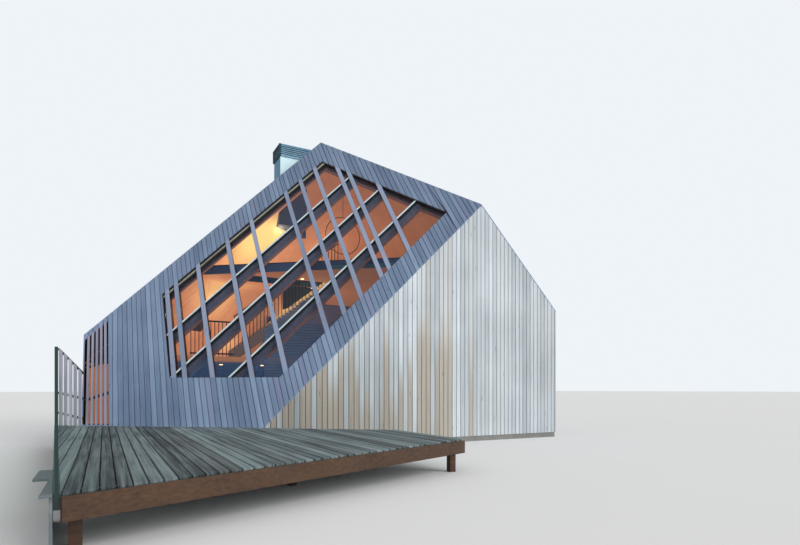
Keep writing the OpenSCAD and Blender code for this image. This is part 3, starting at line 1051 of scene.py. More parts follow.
@dataclass(frozen=True)
class HouseForm:
    """Outer form of the house, read from the frame's boxes.

    The last three sizes say how deep under the clad faces the slabs and walls have their inner ones.
    """

    deck_z: float
    apex_z: float
    half_len: float
    eave_x: float
    end_x: float
    peak_x: float = 3.2
    foot_x: float = 3.4
    shell: float = 0.39
    wall: float = 0.33
    end_wall: float = 0.09

    @classmethod
    def from_frame(cls) -> HouseForm:
        """Reads the form from the CAD nodes' boxes.

        Returns:
            The form.
        """
        return cls(
            deck_z=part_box("deck_boards")[1][2],
            apex_z=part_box("front_slope_cladding")[1][2],
            half_len=-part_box("front_gable_cladding")[0][1],
            eave_x=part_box("eaves_cladding")[1][0],
            end_x=-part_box("end_cladding")[0][0],
        )

    @property
    def rise_x(self) -> float:
        """Rise of the glazed slope along x."""
        return (self.apex_z - self.deck_z - self.peak_x) / (self.peak_x + self.foot_x)

    @property
    def rise_y(self) -> float:
        """Rise of the glazed slope along y."""
        return (self.apex_z - self.deck_z - self.rise_x * self.foot_x) / self.half_len

    @property
    def front(self) -> Vector:
        """Outward normal of the glazed slope."""
        return Vector((-self.rise_x, -self.rise_y, 1)).normalized()

    @property
    def rear(self) -> Vector:
        """Outward normal of the rear slope."""
        return Vector((-self.rise_x, self.rise_y, 1)).normalized()

    @property
    def right(self) -> Vector:
        """Outward normal of the right slope."""
        return Vector((1, 0, 1)).normalized()

    def on_front(self, x: float, y: float) -> Vector:
        """The place on the glazed slope at a plan point."""
        z = self.deck_z + self.rise_x * (x + self.foot_x) + self.rise_y * (y + self.half_len)
        return Vector((x, y, z))

    def level(self, normal: Vector, depth: float) -> float:
        """How far along a slope's normal a plane at a depth under its clad face lies."""
        return Vector((0, 0, self.apex_z)).dot(normal) - depth


class Palette:
    """All the finishes of the house, in the frame's named slots."""

    FELT = srgb(14, 15, 18)
    LOUVRE_INSET = 0.06

    def __init__(self, light: RoomLight) -> None:
        """Sets the finishes' colours.

        Args:
            light: The evening light of the rooms.
        """
        self.light = light
        self.slope = WeatheredBoards(
            "slope_timber", "slope_boards", pale=srgb(153, 176, 206), deep=srgb(94, 112, 142),
            tan=srgb(150, 156, 192), width=0.1365, tan_share=0.3, spread=0.45, high_dark=0.25,
        )
        self.over_glass = WeatheredBoards(
            "over_glass_timber", "slope_boards", pale=srgb(162, 174, 200), deep=srgb(116, 130, 156),
            tan=srgb(158, 152, 170), width=0.1365, tan_share=0.1, spread=0.3,
        )
        self.slat = WeatheredBoards(
            "slat_timber", "slope_boards", pale=srgb(180, 180, 202), deep=srgb(130, 130, 150),
            tan=srgb(170, 156, 162), width=0.066, tan_share=0.3,
        )
        # The gable's darkening low on the left is painted shade.
        self.gable = WeatheredBoards(
            "gable_timber", "gable_boards", pale=srgb(232, 241, 246), deep=srgb(160, 169, 175),
            tan=srgb(198, 184, 162), width=0.137, tan_share=0.15, low_tan=0.85, low_edge=4.2, low_dark=0.32,
            spread=0.42, right_dark=0.16,
        )
        self.deck = WeatheredBoards(
            "deck_timber", "deck_boards", pale=srgb(128, 143, 145), deep=srgb(42, 50, 52),
            tan=srgb(102, 98, 92), width=0.135, tan_share=0.2, spread=0.7, streaks=2.2,
        )
        self.fence = WeatheredBoards(
            "fence_timber", "slope_boards", pale=srgb(228, 228, 244), deep=srgb(180, 180, 198),
            tan=srgb(208, 196, 198), width=0.09, tan_share=0.3,
        )
        self.step = WeatheredBoards(
            "step_timber", "deck_boards", pale=srgb(140, 150, 154), deep=srgb(88, 100, 108),
            tan=srgb(130, 124, 120), width=0.115, tan_share=0.2,
        )
        self.frame_wood = PlainTimber(
            "deck_frame_wood", "deck_frame", pale=srgb(92, 66, 46), deep=srgb(50, 35, 25),
        )
        self.rafter = PlainTimber(
            "rafter_wood", "dark_beam", pale=srgb(110, 56, 30), deep=srgb(52, 28, 20), axis=1, roughness=0.5,
        )
        # The boarded wall's blue is partly its own navy and partly a painted reflection of the evening sky
        # in the glass.
        self.dusk_board = PlainTimber(
            "dusk_boarding", "dark_beam", pale=srgb(178, 206, 240), deep=srgb(136, 164, 200),
        )
        self.cap = SheetMetal(
            "cap_metal", "pale_metal", colour=srgb(212, 228, 234), stain_and_shade=srgb(164, 186, 194),
            roughness=0.4, metallic=0.2,
        )
        self.head = SheetMetal(
            "head_metal", "pale_metal", colour=srgb(150, 148, 134), stain_and_shade=srgb(92, 88, 76),
            roughness=0.5, metallic=0.1, stain_share=0.8,
        )
        # The stack and the hood carry painted shade, in the colour of their stains, on their left sides.
        self.stack = SheetMetal(
            "stack_metal", "pale_metal", colour=srgb(222, 250, 255), stain_and_shade=srgb(38, 112, 148),
            roughness=0.38, metallic=0.05, stain_share=0.1, shaded_side_x=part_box("chimney_stack")[0][0],
        )
        self.hood = SheetMetal(
            "hood_metal", "cap_mesh", colour=srgb(152, 194, 216), stain_and_shade=srgb(10, 46, 62),
            roughness=0.5, metallic=0.3, stain_share=0.1,
            shaded_side_x=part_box("chimney_cap")[0][0] + self.LOUVRE_INSET,
        )
        self.dark = SheetMetal(
            "dark_metal_paint", "dark_metal", colour=srgb(40, 48, 50), stain_and_shade=srgb(24, 30, 32),
            roughness=0.45, metallic=0.2,
        )
        self.rail = SheetMetal(
            "rail_paint", "dark_metal", colour=srgb(58, 38, 34), stain_and_shade=srgb(40, 28, 28),
            roughness=0.45, metallic=0.1,
        )
        self.gasket = SheetMetal(
            "gasket_rubber", "dark_metal", colour=srgb(16, 18, 20), stain_and_shade=srgb(10, 12, 14), roughness=0.7,
        )
        self.breast = SheetMetal(
            "breast_paint", "dark_edge", colour=srgb(80, 110, 156), stain_and_shade=srgb(62, 86, 126), roughness=0.6,
        )
        self.pane = SheetMetal(
            "dusk_pane", "dark_edge", colour=srgb(60, 84, 98), stain_and_shade=srgb(44, 60, 74), roughness=0.3,
        )
        self.screen_end = SheetMetal(
            "windscreen_end", "screen_glass", colour=srgb(14, 52, 46), stain_and_shade=srgb(8, 40, 36), roughness=0.3,
        )
        self.concrete = Mineral(
            "foundation_concrete", "concrete", colour=srgb(150, 150, 146), deep=srgb(112, 112, 110),
        )
        self.glass = Glazing(
            "window_glazing", "glass", tint=(0.86, 0.86, 0.87), mirror=(0.50, 0.72, 1.0), facing=0.014,
        )
        self.screen_glass = Glazing(
            "windscreen_glazing", "screen_glass", tint=(0.74, 0.83, 0.79), mirror=(0.6, 0.72, 0.7),
            edge=srgb(14, 52, 46),
        )

    def lining(
        self, name: str, normal: Vector, inner: float, panel_axis: Vector, slot: str = "structure"
    ) -> Lining:
        """Chooses the wooden lining of one slab.

        Args:
            name: The finish's name.
            normal: The slab's outward normal.
            inner: How far along it the slab's inner face lies.
            panel_axis: The direction across the panels.
            slot: The frame's slot.

        Returns:
            The finish.
        """
        return Lining(
            name, slot, normal, inner, wood=srgb(224, 156, 106), deep=srgb(186, 112, 72),
            felt=self.FELT, light=self.light, panel_axis=panel_axis,
        )

    def stair(self) -> Lining:
        """Chooses the finish of the pale stair, which carries the rooms' painted glow on every side, and
        painted shade towards its foot.

        Returns:
            The finish.
        """
        return Lining(
            "stair_wood", "warm_wood", Way.UP.value, FAR, wood=srgb(255, 214, 150), deep=srgb(230, 170, 110),
            felt=self.FELT, light=self.light, dim=srgb(116, 92, 84), dim_low=3.5, dim_high=4.2,
        )

    def reveal(self, name: str, normal: Vector, lit_from: float, dark: Colour) -> Lining:
        """Chooses the finish of a wooden member of the window, painted with shade beside the glass and with
        the rooms' glow deeper in.

        Args:
            name: The finish's name.
            normal: The window's outward normal.
            lit_from: How far along it the member turns from painted shade to the rooms' painted glow.
            dark: Its colour beside the glass, a painted shade.

        Returns:
            The finish.
        """
        return Lining(
            name, "dark_beam", normal, lit_from, wood=srgb(138, 92, 76), deep=srgb(108, 72, 62),
            felt=dark, light=self.light,
        )

    def floor_edge(self, under: float, top: float) -> FloorEdge:
        """Chooses the upper floor's finish.

        Args:
            under: The height of the floor's underside.
            top: The height of its top.

        Returns:
            The finish.
        """
        return FloorEdge(
            "upper_floor_paint", "dark_edge", under, top, wood=srgb(206, 136, 90), deep=srgb(170, 100, 64),
            band=srgb(48, 68, 106), teal=srgb(62, 112, 122), light=self.light,
        )


@dataclass
class Shell:
    """The slabs of the roof and the walls, felt outside and lined inside with wood that carries the rooms'
    painted glow.
    """

    form: HouseForm
    palette: Palette

    def build(self) -> None:
        """Dresses every slab of the shell, the floor and the plinth."""
        form = self.form
        right, back, up = (way.value for way in Way)
        slopes = {"front_slope": form.front, "rear_slope": form.rear, "right_slope": form.right}
        for node, normal in slopes.items():
            inner = form.level(normal, form.shell)
            MeshKit.dress(self.palette.lining(f"{node}_lining", normal, inner, right), node)
        walls = {
            "front_gable_wall": (-back, form.half_len - form.wall, right),
            "rear_gable_wall": (back, form.half_len - form.wall, right),
            "eaves_wall": (right, form.eave_x - form.wall, back),
            "end_wall": (-right, form.end_x - form.end_wall, back),
        }
        for node, (normal, inner, axis) in walls.items():
            MeshKit.dress(self.palette.lining(f"{node}_lining", normal, inner, axis), node)
        floor = self.palette.lining("ground_floor_lining", -up, -form.deck_z, right)
        MeshKit.dress(floor, "ground_floor")
        MeshKit.dress(self.palette.concrete, "plinth")


@dataclass
class Cladding:
    """Single boards in place of the cladding sheets."""

    form: HouseForm
    palette: Palette
    slope_pitch: float = 0.1475
    wall_pitch: float = 0.148
    lean: float = math.radians(0.7)
    first_x: float = -5.13
    first_y: float = -2.87

    def slope_layout(self, mirrored: bool = False) -> BoardLayout:
        """Works out how the boards lie on the glazed slope.

        Args:
            mirrored: Whether the layout is meant for the rear slope, the mirror image of the glazed one.

        Returns:
            The layout.
        """
        form = self.form
        start = form.on_front(self.first_x, self.first_y)
        further = form.on_front(self.first_x + math.sin(self.lean), self.first_y + math.cos(self.lean))
        along = (further - start).normalized()
        across = along.cross(form.front).normalized()
        side = math.copysign(1, across.x)
        rate = math.sqrt(1 - (form.rise_x * form.front.z) ** 2)
        step = form.on_front(self.first_x + self.slope_pitch * rate, self.first_y) - start
        pitch = abs(step.dot(across))
        flip = Matrix.Diagonal((1, -1 if mirrored else 1, 1))
        return BoardLayout(flip @ along, flip @ (across * side), flip @ start, pitch)

    def build(self) -> None:
        """Lays the boards of every face."""
        form = self.form
        right, back, up = (way.value for way in Way)
        slope, gable = self.palette.slope, self.palette.gable
        corner = Vector((-form.foot_x, 0, 0))
        upright = BoardLayout(up, right, corner, self.wall_pitch)
        sideways = BoardLayout(up, back, Vector(), self.wall_pitch)
        down = (right - up).normalized()
        faces = {
            "front_slope_cladding": (self.slope_layout(), slope),
            "rear_slope_cladding": (self.slope_layout(mirrored=True), slope),
            "right_slope_cladding": (BoardLayout(down, back, Vector(), self.wall_pitch), slope),
            "front_gable_cladding": (upright, gable),
            "rear_gable_cladding": (upright, gable),
            "eaves_cladding": (sideways, gable),
            "end_cladding": (sideways, slope),
        }
        for number, (node, (layout, finish)) in enumerate(faces.items()):
            draw = random.Random(SEED + number)
            MeshKit.piece(f"{node}_single_boards", layout.lay(node, draw), finish, [node])


@dataclass
class LargeWindow:
    """The slanting window: its boards, caps, gaskets, beams, rafters, head, lining and glass."""

    form: HouseForm
    palette: Palette
    layout: BoardLayout
    cap_in: float = 0.030
    cap_w: float = 0.050
    cap_t: float = 0.014
    cap_edge: float = 0.003
    glass_in: float = 0.105
    glass_t: float = 0.030
    rafter_w: float = 0.060
    rafter_d: float = 0.140
    beam_dark: float = 0.115
    rafter_side: float = -0.006
    ridge_gap: float = 0.600
    head_low: float = 0.076
    head_high: float = 0.040
    trimmer_w: float = 0.04
    trimmer_d: float = 0.11
    trimmer_dark: float = 0.085
    reveal_dark: float = 0.16
    # Painted shade on the beams, the trimmer and the reveal beside the glass.
    beam_shade: Colour = srgb(94, 94, 112)
    trimmer_shade: Colour = srgb(84, 58, 54)
    reveal_shade: Colour = srgb(38, 24, 22)
    seed: int = SEED + 20

    def build(self) -> None:
        """Builds the window."""
        boards = self._build_boards()
        self._build_rafters(boards)
        self._build_caps()
        self._build_head()
        reveal, normal = self.palette.reveal, self.form.front
        beam_lit = self._depth(self.glass_in + self.beam_dark)
        lining_lit = self._depth(self.glass_in + self.reveal_dark)
        # The beams and the reveal carry painted shade beside the glass and the rooms' painted glow deeper
        # in.
        MeshKit.dress(reveal("beam_shade", normal, beam_lit, self.beam_shade), "glazing_beams")
        MeshKit.dress(reveal("window_reveal", normal, lining_lit, self.reveal_shade), "window_lining")
        MeshKit.dress(self.palette.glass, "window_glass")

    def _depth(self, depth: float) -> float:
        """Where a plane at a depth under the clad face lies along the slope's normal."""
        return self.form.level(self.form.front, depth)

    def _build_boards(self) -> list[float]:
        """Builds the boards that run on over the glass.

        Returns:
            Where they have their middles across the slope.
        """
        layout = self.layout
        start = layout.middle.dot(layout.across)
        sheet = MeshKit.copy_of("window_boards")
        middles = []
        for island in MeshKit.islands(sheet):
            reach = [vert.co.dot(layout.across) for face in island for vert in face.verts]
            middle = (min(reach) + max(reach)) / 2
            middles.append(start + round((middle - start) / layout.pitch) * layout.pitch)
        whole = bmesh.new()
        for middle in sorted(middles):
            strip = sheet.copy()
            MeshKit.keep_between(strip, layout.across, middle - layout.width / 2, middle + layout.width / 2)
            MeshKit.soften(strip, layout.edge)
            MeshKit.add_to(whole, strip)
        sheet.free()
        layout.mark(whole, random.Random(self.seed))
        MeshKit.piece("boards_over_the_glass", whole, self.palette.over_glass, ["window_boards"])
        return sorted(middles)

    def _layer(self, depth: float, thick: float) -> bmesh.types.BMesh:
        """Makes a slab in the window's outline.

        Args:
            depth: How deep under the clad face its outer side lies.
            thick: Its thickness.

        Returns:
            The slab.
        """
        shape = MeshKit.copy_of("window_glass")
        normal = self.form.front
        face = self._depth(self.glass_in - self.glass_t)
        stretch = Matrix.Identity(4)
        rate = thick / self.glass_t - 1
        for row in range(3):
            for column in range(3):
                stretch[row][column] += rate * normal[row] * normal[column]
        shift = normal * (self._depth(depth) - face * (1 + rate))
        bmesh.ops.transform(shape, matrix=Matrix.Translation(shift) @ stretch, verts=shape.verts)
        return shape

    def _build_rafters(self, middles: Sequence[float]) -> None:
        """Builds a dark member under the glass beside each board that runs over it.

        Args:
            middles: Where those boards have their middles across the slope.
        """
        whole = bmesh.new()
        layer = self._layer(self.glass_in, self.rafter_d)
        across = self.layout.across
        for middle in middles:
            strip = layer.copy()
            place = middle + self.rafter_side
            MeshKit.keep_between(strip, across, place - self.rafter_w / 2, place + self.rafter_w / 2)
            if strip.faces:
                MeshKit.soften(strip, self.cap_edge)
            MeshKit.add_to(whole, strip)
        layer.free()
        MeshKit.piece("window_rafters", whole, self.palette.rafter)

    def _build_caps(self) -> None:
        """Parts the caps into bright narrow strips and the dark gaskets under them."""
        normal = self.form.front
        level = (self.form.on_front(1, 0) - self.form.on_front(0, 0)).normalized()
        across = normal.cross(level)
        caps = MeshKit.copy_of("glazing_caps")
        gaskets = caps.copy()
        MeshKit.keep_between(caps, normal, self._depth(self.cap_in + self.cap_t), self._depth(0))
        MeshKit.keep_between(gaskets, normal, self._depth(FAR), self._depth(self.cap_in + self.cap_t))
        whole = bmesh.new()
        for middle in MeshKit.middles(caps, across):
            strip = caps.copy()
            MeshKit.keep_between(strip, across, middle - self.cap_w / 2, middle + self.cap_w / 2)
            MeshKit.soften(strip, self.cap_edge, 2)
            MeshKit.add_to(whole, strip)
        caps.free()
        MeshKit.piece("cap_strips", whole, self.palette.cap, ["glazing_caps"])
        MeshKit.piece("cap_gaskets", gaskets, self.palette.gasket)

    def _build_head(self) -> None:
        """Builds the narrow strip under the upper edge, its dark bed and the trimmer behind the glass."""
        normal, back = self.form.front, Way.BACK.value
        ridge = -self.ridge_gap
        strip = MeshKit.copy_of("window_head")
        bed = strip.copy()
        MeshKit.keep_between(strip, normal, self._depth(self.cap_in + self.cap_t), self._depth(0))
        MeshKit.keep_between(strip, back, ridge - self.head_low, ridge - self.head_high)
        MeshKit.keep_between(bed, normal, self._depth(FAR), self._depth(self.cap_in + self.cap_t))
        MeshKit.soften(strip, self.cap_edge, 2)
        MeshKit.piece("head_strip", strip, self.palette.head, ["window_head"])
        MeshKit.piece("head_bed", bed, self.palette.gasket)
        trimmer = self._layer(self.glass_in, self.trimmer_d)
        MeshKit.keep_between(trimmer, back, ridge - self.trimmer_w, ridge)
        # The trimmer carries painted shade beside the glass and the rooms' painted glow deeper in.
        trimmer_lit = self._depth(self.glass_in + self.trimmer_dark)
        finish = self.palette.reveal("trimmer_shade", normal, trimmer_lit, self.trimmer_shade)
        MeshKit.piece("head_trimmer", trimmer, finish)


@dataclass
class Screens:
    """The slatted openings beside the narrow end, with their rails and glass."""

    palette: Palette
    edge: float = 0.003
    seed: int = SEED + 30

    def build(self) -> None:
        """Builds both screens."""
        draw = random.Random(self.seed)
        for side in ("front", "rear"):
            slats = MeshKit.copy_of(f"{side}_screen_slats")
            MeshKit.soften(slats, self.edge)
            mark_bars(slats, draw)
            MeshKit.piece(f"{side}_slats", slats, self.palette.slat, [f"{side}_screen_slats"])
            MeshKit.dress(self.palette.dark, f"{side}_screen_rails")
            MeshKit.dress(self.palette.glass, f"{side}_screen_glass")


@dataclass
class Deck:
    """The plank deck with its frame, fence, windscreen and step."""

    form: HouseForm
    palette: Palette
    pitch: float = 0.148
    gap: float = 0.013
    edge: float = 0.003
    fence_t: float = 0.030
    fence_low: float = 1.38
    fence_high: float = 2.06
    rail_t: float = 0.045
    rail_share: float = 0.96
    cut_face: float = 0.06
    planks_seed: int = SEED + 40
    fence_seed: int = SEED + 41
    step_seed: int = SEED + 42

    def build(self) -> None:
        """Builds the deck."""
        right, back, _ = (way.value for way in Way)
        low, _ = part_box("deck_boards")
        start = Vector((low[0] + self.pitch / 2, 0, 0))
        layout = BoardLayout(back, right, start, self.pitch, self.gap, self.edge)
        planks = layout.lay("deck_boards", random.Random(self.planks_seed))
        MeshKit.piece("deck_planks", planks, self.palette.deck, ["deck_boards"])
        MeshKit.dress(self.palette.frame_wood, "deck_joists", "deck_posts", "deck_fascia")
        self._build_fence()
        self._build_step()
        self._build_windscreen()
        MeshKit.dress(self.palette.dark, "windscreen_shoe")

    def _build_fence(self) -> None:
        """Parts the fence's slats from its rails, and adds the rail under its sloping top."""
        form = self.form
        square = Vector((form.rise_x, form.rise_y, 0)).normalized()
        slats = MeshKit.copy_of("side_fence")
        near = min(vert.co.dot(square) for vert in slats.verts)
        rails = slats.copy()
        MeshKit.keep_between(slats, square, near - FAR, near + self.fence_t)
        MeshKit.keep_between(rails, square, near + self.fence_t, near + FAR)
        MeshKit.soften(slats, self.edge)
        mark_bars(slats, random.Random(self.fence_seed))
        low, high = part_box("side_fence")
        start = Vector((high[0], low[1], form.deck_z + self.fence_low - self.rail_t))
        end = Vector((low[0], high[1], form.deck_z + self.fence_high - self.rail_t))
        run = (end - start).normalized()
        place = Matrix((run, square, run.cross(square))).transposed().to_4x4()
        place.translation = (start + end) / 2
        place.translation += square * (near + self.fence_t + self.rail_t / 2 - place.translation.dot(square))
        size = Vector(((end - start).length * self.rail_share, self.rail_t, self.rail_t))
        MeshKit.add_to(rails, MeshKit.bar(size, place))
        MeshKit.piece("fence_slats", slats, self.palette.fence, ["side_fence"])
        MeshKit.piece("fence_rails", rails, self.palette.dark)

    def _build_windscreen(self) -> None:
        """Copies the panes and gives their narrow faces the dark green of cut glass."""
        panes = MeshKit.copy_of("windscreen_glass")
        for face in panes.faces:
            height = 2 * face.calc_area() / max(edge.calc_length() for edge in face.edges)
            face.material_index = int(height < self.cut_face)
        made = MeshKit.piece("windscreen_panes", panes, self.palette.screen_glass, ["windscreen_glass"])
        made.data.materials.append(self.palette.screen_end.material())

    def _build_step(self) -> None:
        """Softens the step's boards."""
        step = MeshKit.copy_of("side_step")
        MeshKit.soften(step, self.edge)
        mark_bars(step, random.Random(self.step_seed))
        MeshKit.piece("step_planks", step, self.palette.step, ["side_step"])


@dataclass
class Rooms:
    """The floors, the stair and what else the window shows of the rooms, with the lamps that light them."""

    form: HouseForm
    palette: Palette
    breast_low: Vector = Vector((-1.40, 0.38, 7.30))
    breast_high: Vector = Vector((-0.38, 1.30, 9.20))
    breast_edge: float = 0.008
    breast_sunk: float = 0.05
    duct_low: Vector = Vector((-0.56, 0.38, 6.95))
    duct_high: Vector = Vector((-0.42, 0.52, 7.40))
    hoop_middle: Vector = Vector((1.05, 0.50, 7.24))
    hoop_radius: float = 0.68
    hoop_t: float = 0.014
    hoop_hang: float = 9.97
    hoop_sides: int = 8
    hoop_steps: int = 64
    end_wall_x: float = -5.60
    end_wall_t: float = 0.08
    end_wall_lit: float = 2.29
    end_wall_sunk: float = 0.02
    slat_low: Vector = Vector((-2.27, -1.035, 0.62))
    slat_high: Vector = Vector((2.6, -1.005, 4.46))
    slat_peak: float = 4.90
    slat_turn: float = -0.20
    slat_pitch: float = 0.090
    slat_h: float = 0.079
    slat_edge: float = 0.003
    stair_foot: Vector = Vector((-3.20, 0.0, 2.775))
    stair_rate: float = 0.7787
    panel_y: float = 0.04
    panel_t: float = 0.03
    panes: tuple[tuple[Vector, Vector], ...] = (
        (Vector((-3.99, 1.54, 3.74)), Vector((0.74, 0.40, 0.05))),
        (Vector((-0.82, 3.80, 4.06)), Vector((0.54, 0.92, 0.05))),
    )
    pane_edge: float = 0.006
    panel_outline: tuple[tuple[float, float], ...] = (
        (-1.36, 4.27), (-1.36, 5.05), (-1.26, 5.13), (-0.50, 5.13), (-0.10, 5.02), (-0.10, 4.77),
    )
    spots: tuple[Vector, ...] = (
        Vector((-1.23, 0.80, 7.16)), Vector((-1.10, -1.27, 5.125)), Vector((-0.24, 0.17, 5.125)),
        Vector((-3.59, -0.94, 2.305)), Vector((-2.33, -0.94, 2.305)),
    )
    spot_radius: float = 0.055
    spot_taper: float = 0.8
    spot_t: float = 0.03
    spot_sides: int = 16
    spot_colour: Colour = srgb(255, 200, 130)
    spot_strength: float = 4.0
    lamp_size: float = 0.12

    def build(self) -> None:
        """Dresses the rooms and lights the lamps."""
        palette = self.palette
        right, _, up = (way.value for way in Way)
        floor_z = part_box("mid_floor")[0][2]
        MeshKit.dress(palette.lining("floor_wood", -up, -floor_z, right, "warm_wood"), "mid_floor")
        MeshKit.dress(palette.stair(), "stair_flight")
        low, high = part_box("upper_floor")
        MeshKit.dress(palette.floor_edge(low[2], high[2]), "upper_floor")
        MeshKit.dress(palette.rail, "mid_balustrade", "stair_balustrade")
        self._build_breast()
        self._build_hoop()
        self._build_end_wall()
        self._build_slats()
        self._build_panes()
        self._build_stair_panel()
        self._build_spots()
        self._light_lamps()

    def _cut_at_lining(self, shape: bmesh.types.BMesh, normal: Vector, sunk: float) -> None:
        """Cuts a shape off a little way inside a slope's lining, so that it ends out of sight."""
        inner = self.form.level(normal, self.form.shell)
        MeshKit.keep_between(shape, normal, inner - FAR, inner + sunk)

    def _build_breast(self) -> None:
        """The dark casing of the chimney under the rear lining, and the duct below it."""
        breast = MeshKit.block(self.breast_low, self.breast_high)
        self._cut_at_lining(breast, self.form.rear, self.breast_sunk)
        MeshKit.soften(breast, self.breast_edge)
        MeshKit.add_to(breast, MeshKit.block(self.duct_low, self.duct_high))
        MeshKit.piece("chimney_breast", breast, self.palette.breast)

    def _build_hoop(self) -> None:
        """A thin round hoop that hangs from the roof over the upper floor."""
        shape = bmesh.new()
        place = Matrix.Translation(self.hoop_middle + Vector((self.hoop_radius, 0, 0)))
        ring = bmesh.ops.create_circle(shape, segments=self.hoop_sides, radius=self.hoop_t, matrix=place)
        edges = {edge for vert in ring["verts"] for edge in vert.link_edges}
        bmesh.ops.spin(
            shape, geom=[*ring["verts"], *edges], cent=self.hoop_middle, axis=Way.BACK.value,
            angle=math.tau, steps=self.hoop_steps, use_merge=True,
        )
        bmesh.ops.recalc_face_normals(shape, faces=shape.faces)
        thin = Vector((self.hoop_t, self.hoop_t, 0)) / 2
        top = self.hoop_middle + Vector((0, 0, self.hoop_radius))
        cord_end = Vector((top.x, top.y, self.hoop_hang))
        MeshKit.add_to(shape, MeshKit.block(top - thin, cord_end + thin))
        MeshKit.piece("hanging_hoop", shape, self.palette.rail, smooth=True)

    def _build_end_wall(self) -> None:
        """The wall that shows between the slats of both screens, with the rooms' painted glow low down and
        painted shade above.
        """
        half = self.end_wall_t / 2
        left = -self.form.end_x + self.form.end_wall
        top = Vector((self.end_wall_x, half, self.form.apex_z))
        wall = MeshKit.block(Vector((left, -half, self.form.deck_z)), top)
        for normal in (self.form.front, self.form.rear):
            self._cut_at_lining(wall, normal, self.end_wall_sunk)
        finish = self.palette.lining(
            "end_room_lining", Way.UP.value, self.end_wall_lit, Way.UP.value, "warm_wood"
        )
        MeshKit.piece("end_room_wall", wall, finish)

    def _build_slats(self) -> None:
        """The dark boarded wall low on the right, whose left end climbs along the stair."""
        whole = bmesh.new()
        high = self.slat_high
        for number in range(int((self.slat_peak - self.slat_low.z) / self.slat_pitch)):
            z = self.slat_low.z + number * self.slat_pitch
            top = z + self.slat_h
            left = max(self.slat_low.x, self.stair_foot.x + (top - self.stair_foot.z) / self.stair_rate)
            right = high.x if top < high.z else self.slat_turn
            if right - left < self.slat_h:
                continue
            slat = MeshKit.block(Vector((left, self.slat_low.y, z)), Vector((right, high.y, top)))
            MeshKit.soften(slat, self.slat_edge)
            MeshKit.add_to(whole, slat)
        # Its boards' blue includes a painted reflection of the evening sky.
        MeshKit.piece("boarded_room_wall", whole, self.palette.dusk_board)

    def _build_panes(self) -> None:
        """Two dark panes in the rear lining."""
        rear = self.form.rear
        level = Way.UP.value.cross(rear).normalized()
        rise = rear.cross(level)
        whole = bmesh.new()
        for middle, size in self.panes:
            place = Matrix((level, rise, rear)).transposed().to_4x4()
            place.translation = middle
            pane = MeshKit.bar(size, place)
            MeshKit.soften(pane, self.pane_edge)
            MeshKit.add_to(whole, pane)
        MeshKit.piece("rear_panes", whole, self.palette.pane)

    def _build_stair_panel(self) -> None:
        """The dark many-sided panel that closes the stair's far side under the upper floor."""
        shape = bmesh.new()
        corners = [shape.verts.new((x, self.panel_y, z)) for x, z in self.panel_outline]
        bmesh.ops.contextual_create(shape, geom=corners)
        raised = bmesh.ops.extrude_face_region(shape, geom=shape.faces[:])["geom"]
        verts = [part for part in raised if isinstance(part, bmesh.types.BMVert)]
        bmesh.ops.translate(shape, verts=verts, vec=(0, self.panel_t, 0))
        bmesh.ops.recalc_face_normals(shape, faces=shape.faces)
        MeshKit.piece("stair_panel", shape, self.palette.pane)

    def _build_spots(self) -> None:
        """Small round lamps under the floors."""
        for number, place in enumerate(self.spots):
            shape = bmesh.new()
            radius = self.spot_radius
            bmesh.ops.create_cone(
                shape, cap_ends=True, segments=self.spot_sides, radius1=radius,
                radius2=radius * self.spot_taper, depth=self.spot_t, matrix=Matrix.Translation(place),
            )
            name = f"spot_glow_{number}"
            glow = Glow(name, "warm_wood", self.spot_colour, place, radius, self.spot_strength)
            MeshKit.piece(f"room_spot_{number}", shape, glow)

    def _light_lamps(self) -> None:
        """Makes a real lamp of each lamp of the room light that has power."""
        rooms = self.palette.light
        for number, lamp in enumerate(rooms.lamps):
            if lamp.power == 0:
                continue
            light = bpy.data.lights.new(f"room_lamp_{number}", "POINT")
            light.energy = lamp.power
            light.color = rooms.colour
            light.shadow_soft_size = self.lamp_size
            holder = bpy.data.objects.new(light.name, light)
            holder.location = lamp.place
            bpy.context.scene.collection.objects.link(holder)


@dataclass
class Chimney:
    """The metal stack with its louvred cap and flue."""

    palette: Palette
    edge: float = 0.006

    def build(self) -> None:
        """Builds the chimney."""
        # The stack's and the hood's left sides carry painted shade.
        for node, finish in (
            ("chimney_stack", self.palette.stack),
            ("chimney_cap", self.palette.hood),
            ("chimney_flue", self.palette.stack),
        ):
            shape = MeshKit.copy_of(node)
            MeshKit.soften(shape, self.edge, 2)
            MeshKit.piece(f"{node}_sheet", shape, finish, [node])
        MeshKit.dress(self.palette.hood, "chimney_louvres")


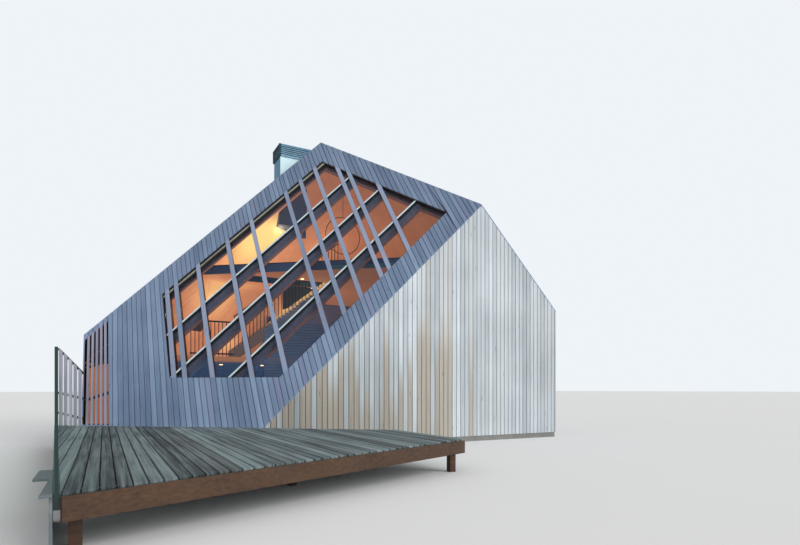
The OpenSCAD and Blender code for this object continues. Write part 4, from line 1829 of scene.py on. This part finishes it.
@dataclass
class Studio:
    """A pale floor and backdrop, one soft lamp and the photograph's camera."""

    lens: float = 24.615
    shift_y: float = 0.1462
    eye: Vector = Vector((-6.765, -18.395, 1.5355))
    turn: float = math.radians(-28.428)
    floor_size: float = 400.0
    floor_roughness: float = 0.9
    cloud_rate: float = 0.3
    cloud_dark: float = 0.98
    pale: float = 0.80
    world: float = 0.56
    backdrop: Colour = (0.86, 0.90, 0.94)
    key_power: float = 2.0
    key_angle: float = math.radians(40)
    key_from: Vector = Vector((0.45, -0.75, 0.5))
    sight: float = 1000.0

    def build(self) -> None:
        """Builds the floor, the world, the lamp and the camera."""
        self._build_floor()
        self._build_world()
        self._build_key()
        self._build_camera()

    def _build_floor(self) -> None:
        """The floor, pale and almost plain."""
        shape = bmesh.new()
        bmesh.ops.create_grid(shape, x_segments=1, y_segments=1, size=self.floor_size)
        mesh = bpy.data.meshes.new("studio_floor")
        shape.to_mesh(mesh)
        shape.free()
        material = bpy.data.materials.new("studio_floor")
        tree = Tree(material)
        cloud = tree.noise(tree.point(), self.cloud_rate, 2.0)
        colour = tree.mix(cloud, (self.pale * self.cloud_dark,) * 3, (self.pale,) * 3)
        tree.finish(tree.surface(colour, self.floor_roughness))
        mesh.materials.append(material)
        floor = bpy.data.objects.new("studio_floor", mesh)
        bpy.context.scene.collection.objects.link(floor)

    def _build_world(self) -> None:
        """A soft even sky, which the camera, glass and metal see as a pale backdrop."""
        world = bpy.data.worlds.new("studio_world")
        tree = Tree(world)
        kinds = ("Camera", "Glossy", "Transmission")
        camera, glossy, passed = (tree.add("ShaderNodeLightPath", out=f"Is {kind} Ray") for kind in kinds)
        soft = tree.add("ShaderNodeBackground", sockets={"Color": (1.0, 1.0, 1.0), "Strength": self.world})
        backdrop = tree.add("ShaderNodeBackground", sockets={"Color": self.backdrop})
        seen = camera.most(glossy).most(passed)
        pick = tree.add("ShaderNodeMixShader", sockets={0: seen, 1: soft, 2: backdrop})
        tree.finish(pick, "ShaderNodeOutputWorld")
        bpy.context.scene.world = world

    def _build_key(self) -> None:
        """One broad soft lamp from the right, on the gable's side, which glass and metal don't mirror."""
        light = bpy.data.lights.new("key_lamp", "SUN")
        light.energy = self.key_power
        light.angle = self.key_angle
        key = bpy.data.objects.new("key_lamp", light)
        key.rotation_euler = self.key_from.to_track_quat("Z", "Y").to_euler()
        key.visible_glossy = False
        bpy.context.scene.collection.objects.link(key)

    def _build_camera(self) -> None:
        """The photograph's camera: level, with its lens shifted up."""
        data = bpy.data.cameras.new("photo_camera")
        data.lens = self.lens
        data.shift_y = self.shift_y
        data.clip_end = self.sight
        camera = bpy.data.objects.new("photo_camera", data)
        camera.location = self.eye
        camera.rotation_euler = (math.radians(90), 0, self.turn)
        bpy.context.scene.collection.objects.link(camera)
        bpy.context.scene.camera = camera


def main() -> None:
    """Builds the house's pieces in order."""
    logging.basicConfig(level=logging.INFO, format="%(name)s: %(message)s")
    bpy.context.scene.view_settings.view_transform = "Standard"
    form = HouseForm.from_frame()
    log.info("apex %.2f m, half length %.2f m", form.apex_z, form.half_len)
    palette = Palette(RoomLight())
    cladding = Cladding(form, palette)
    Studio().build()
    Shell(form, palette).build()
    cladding.build()
    LargeWindow(form, palette, cladding.slope_layout()).build()
    Screens(palette).build()
    Deck(form, palette).build()
    Rooms(form, palette).build()
    Chimney(palette).build()


if __name__ == "__main__":
    main()
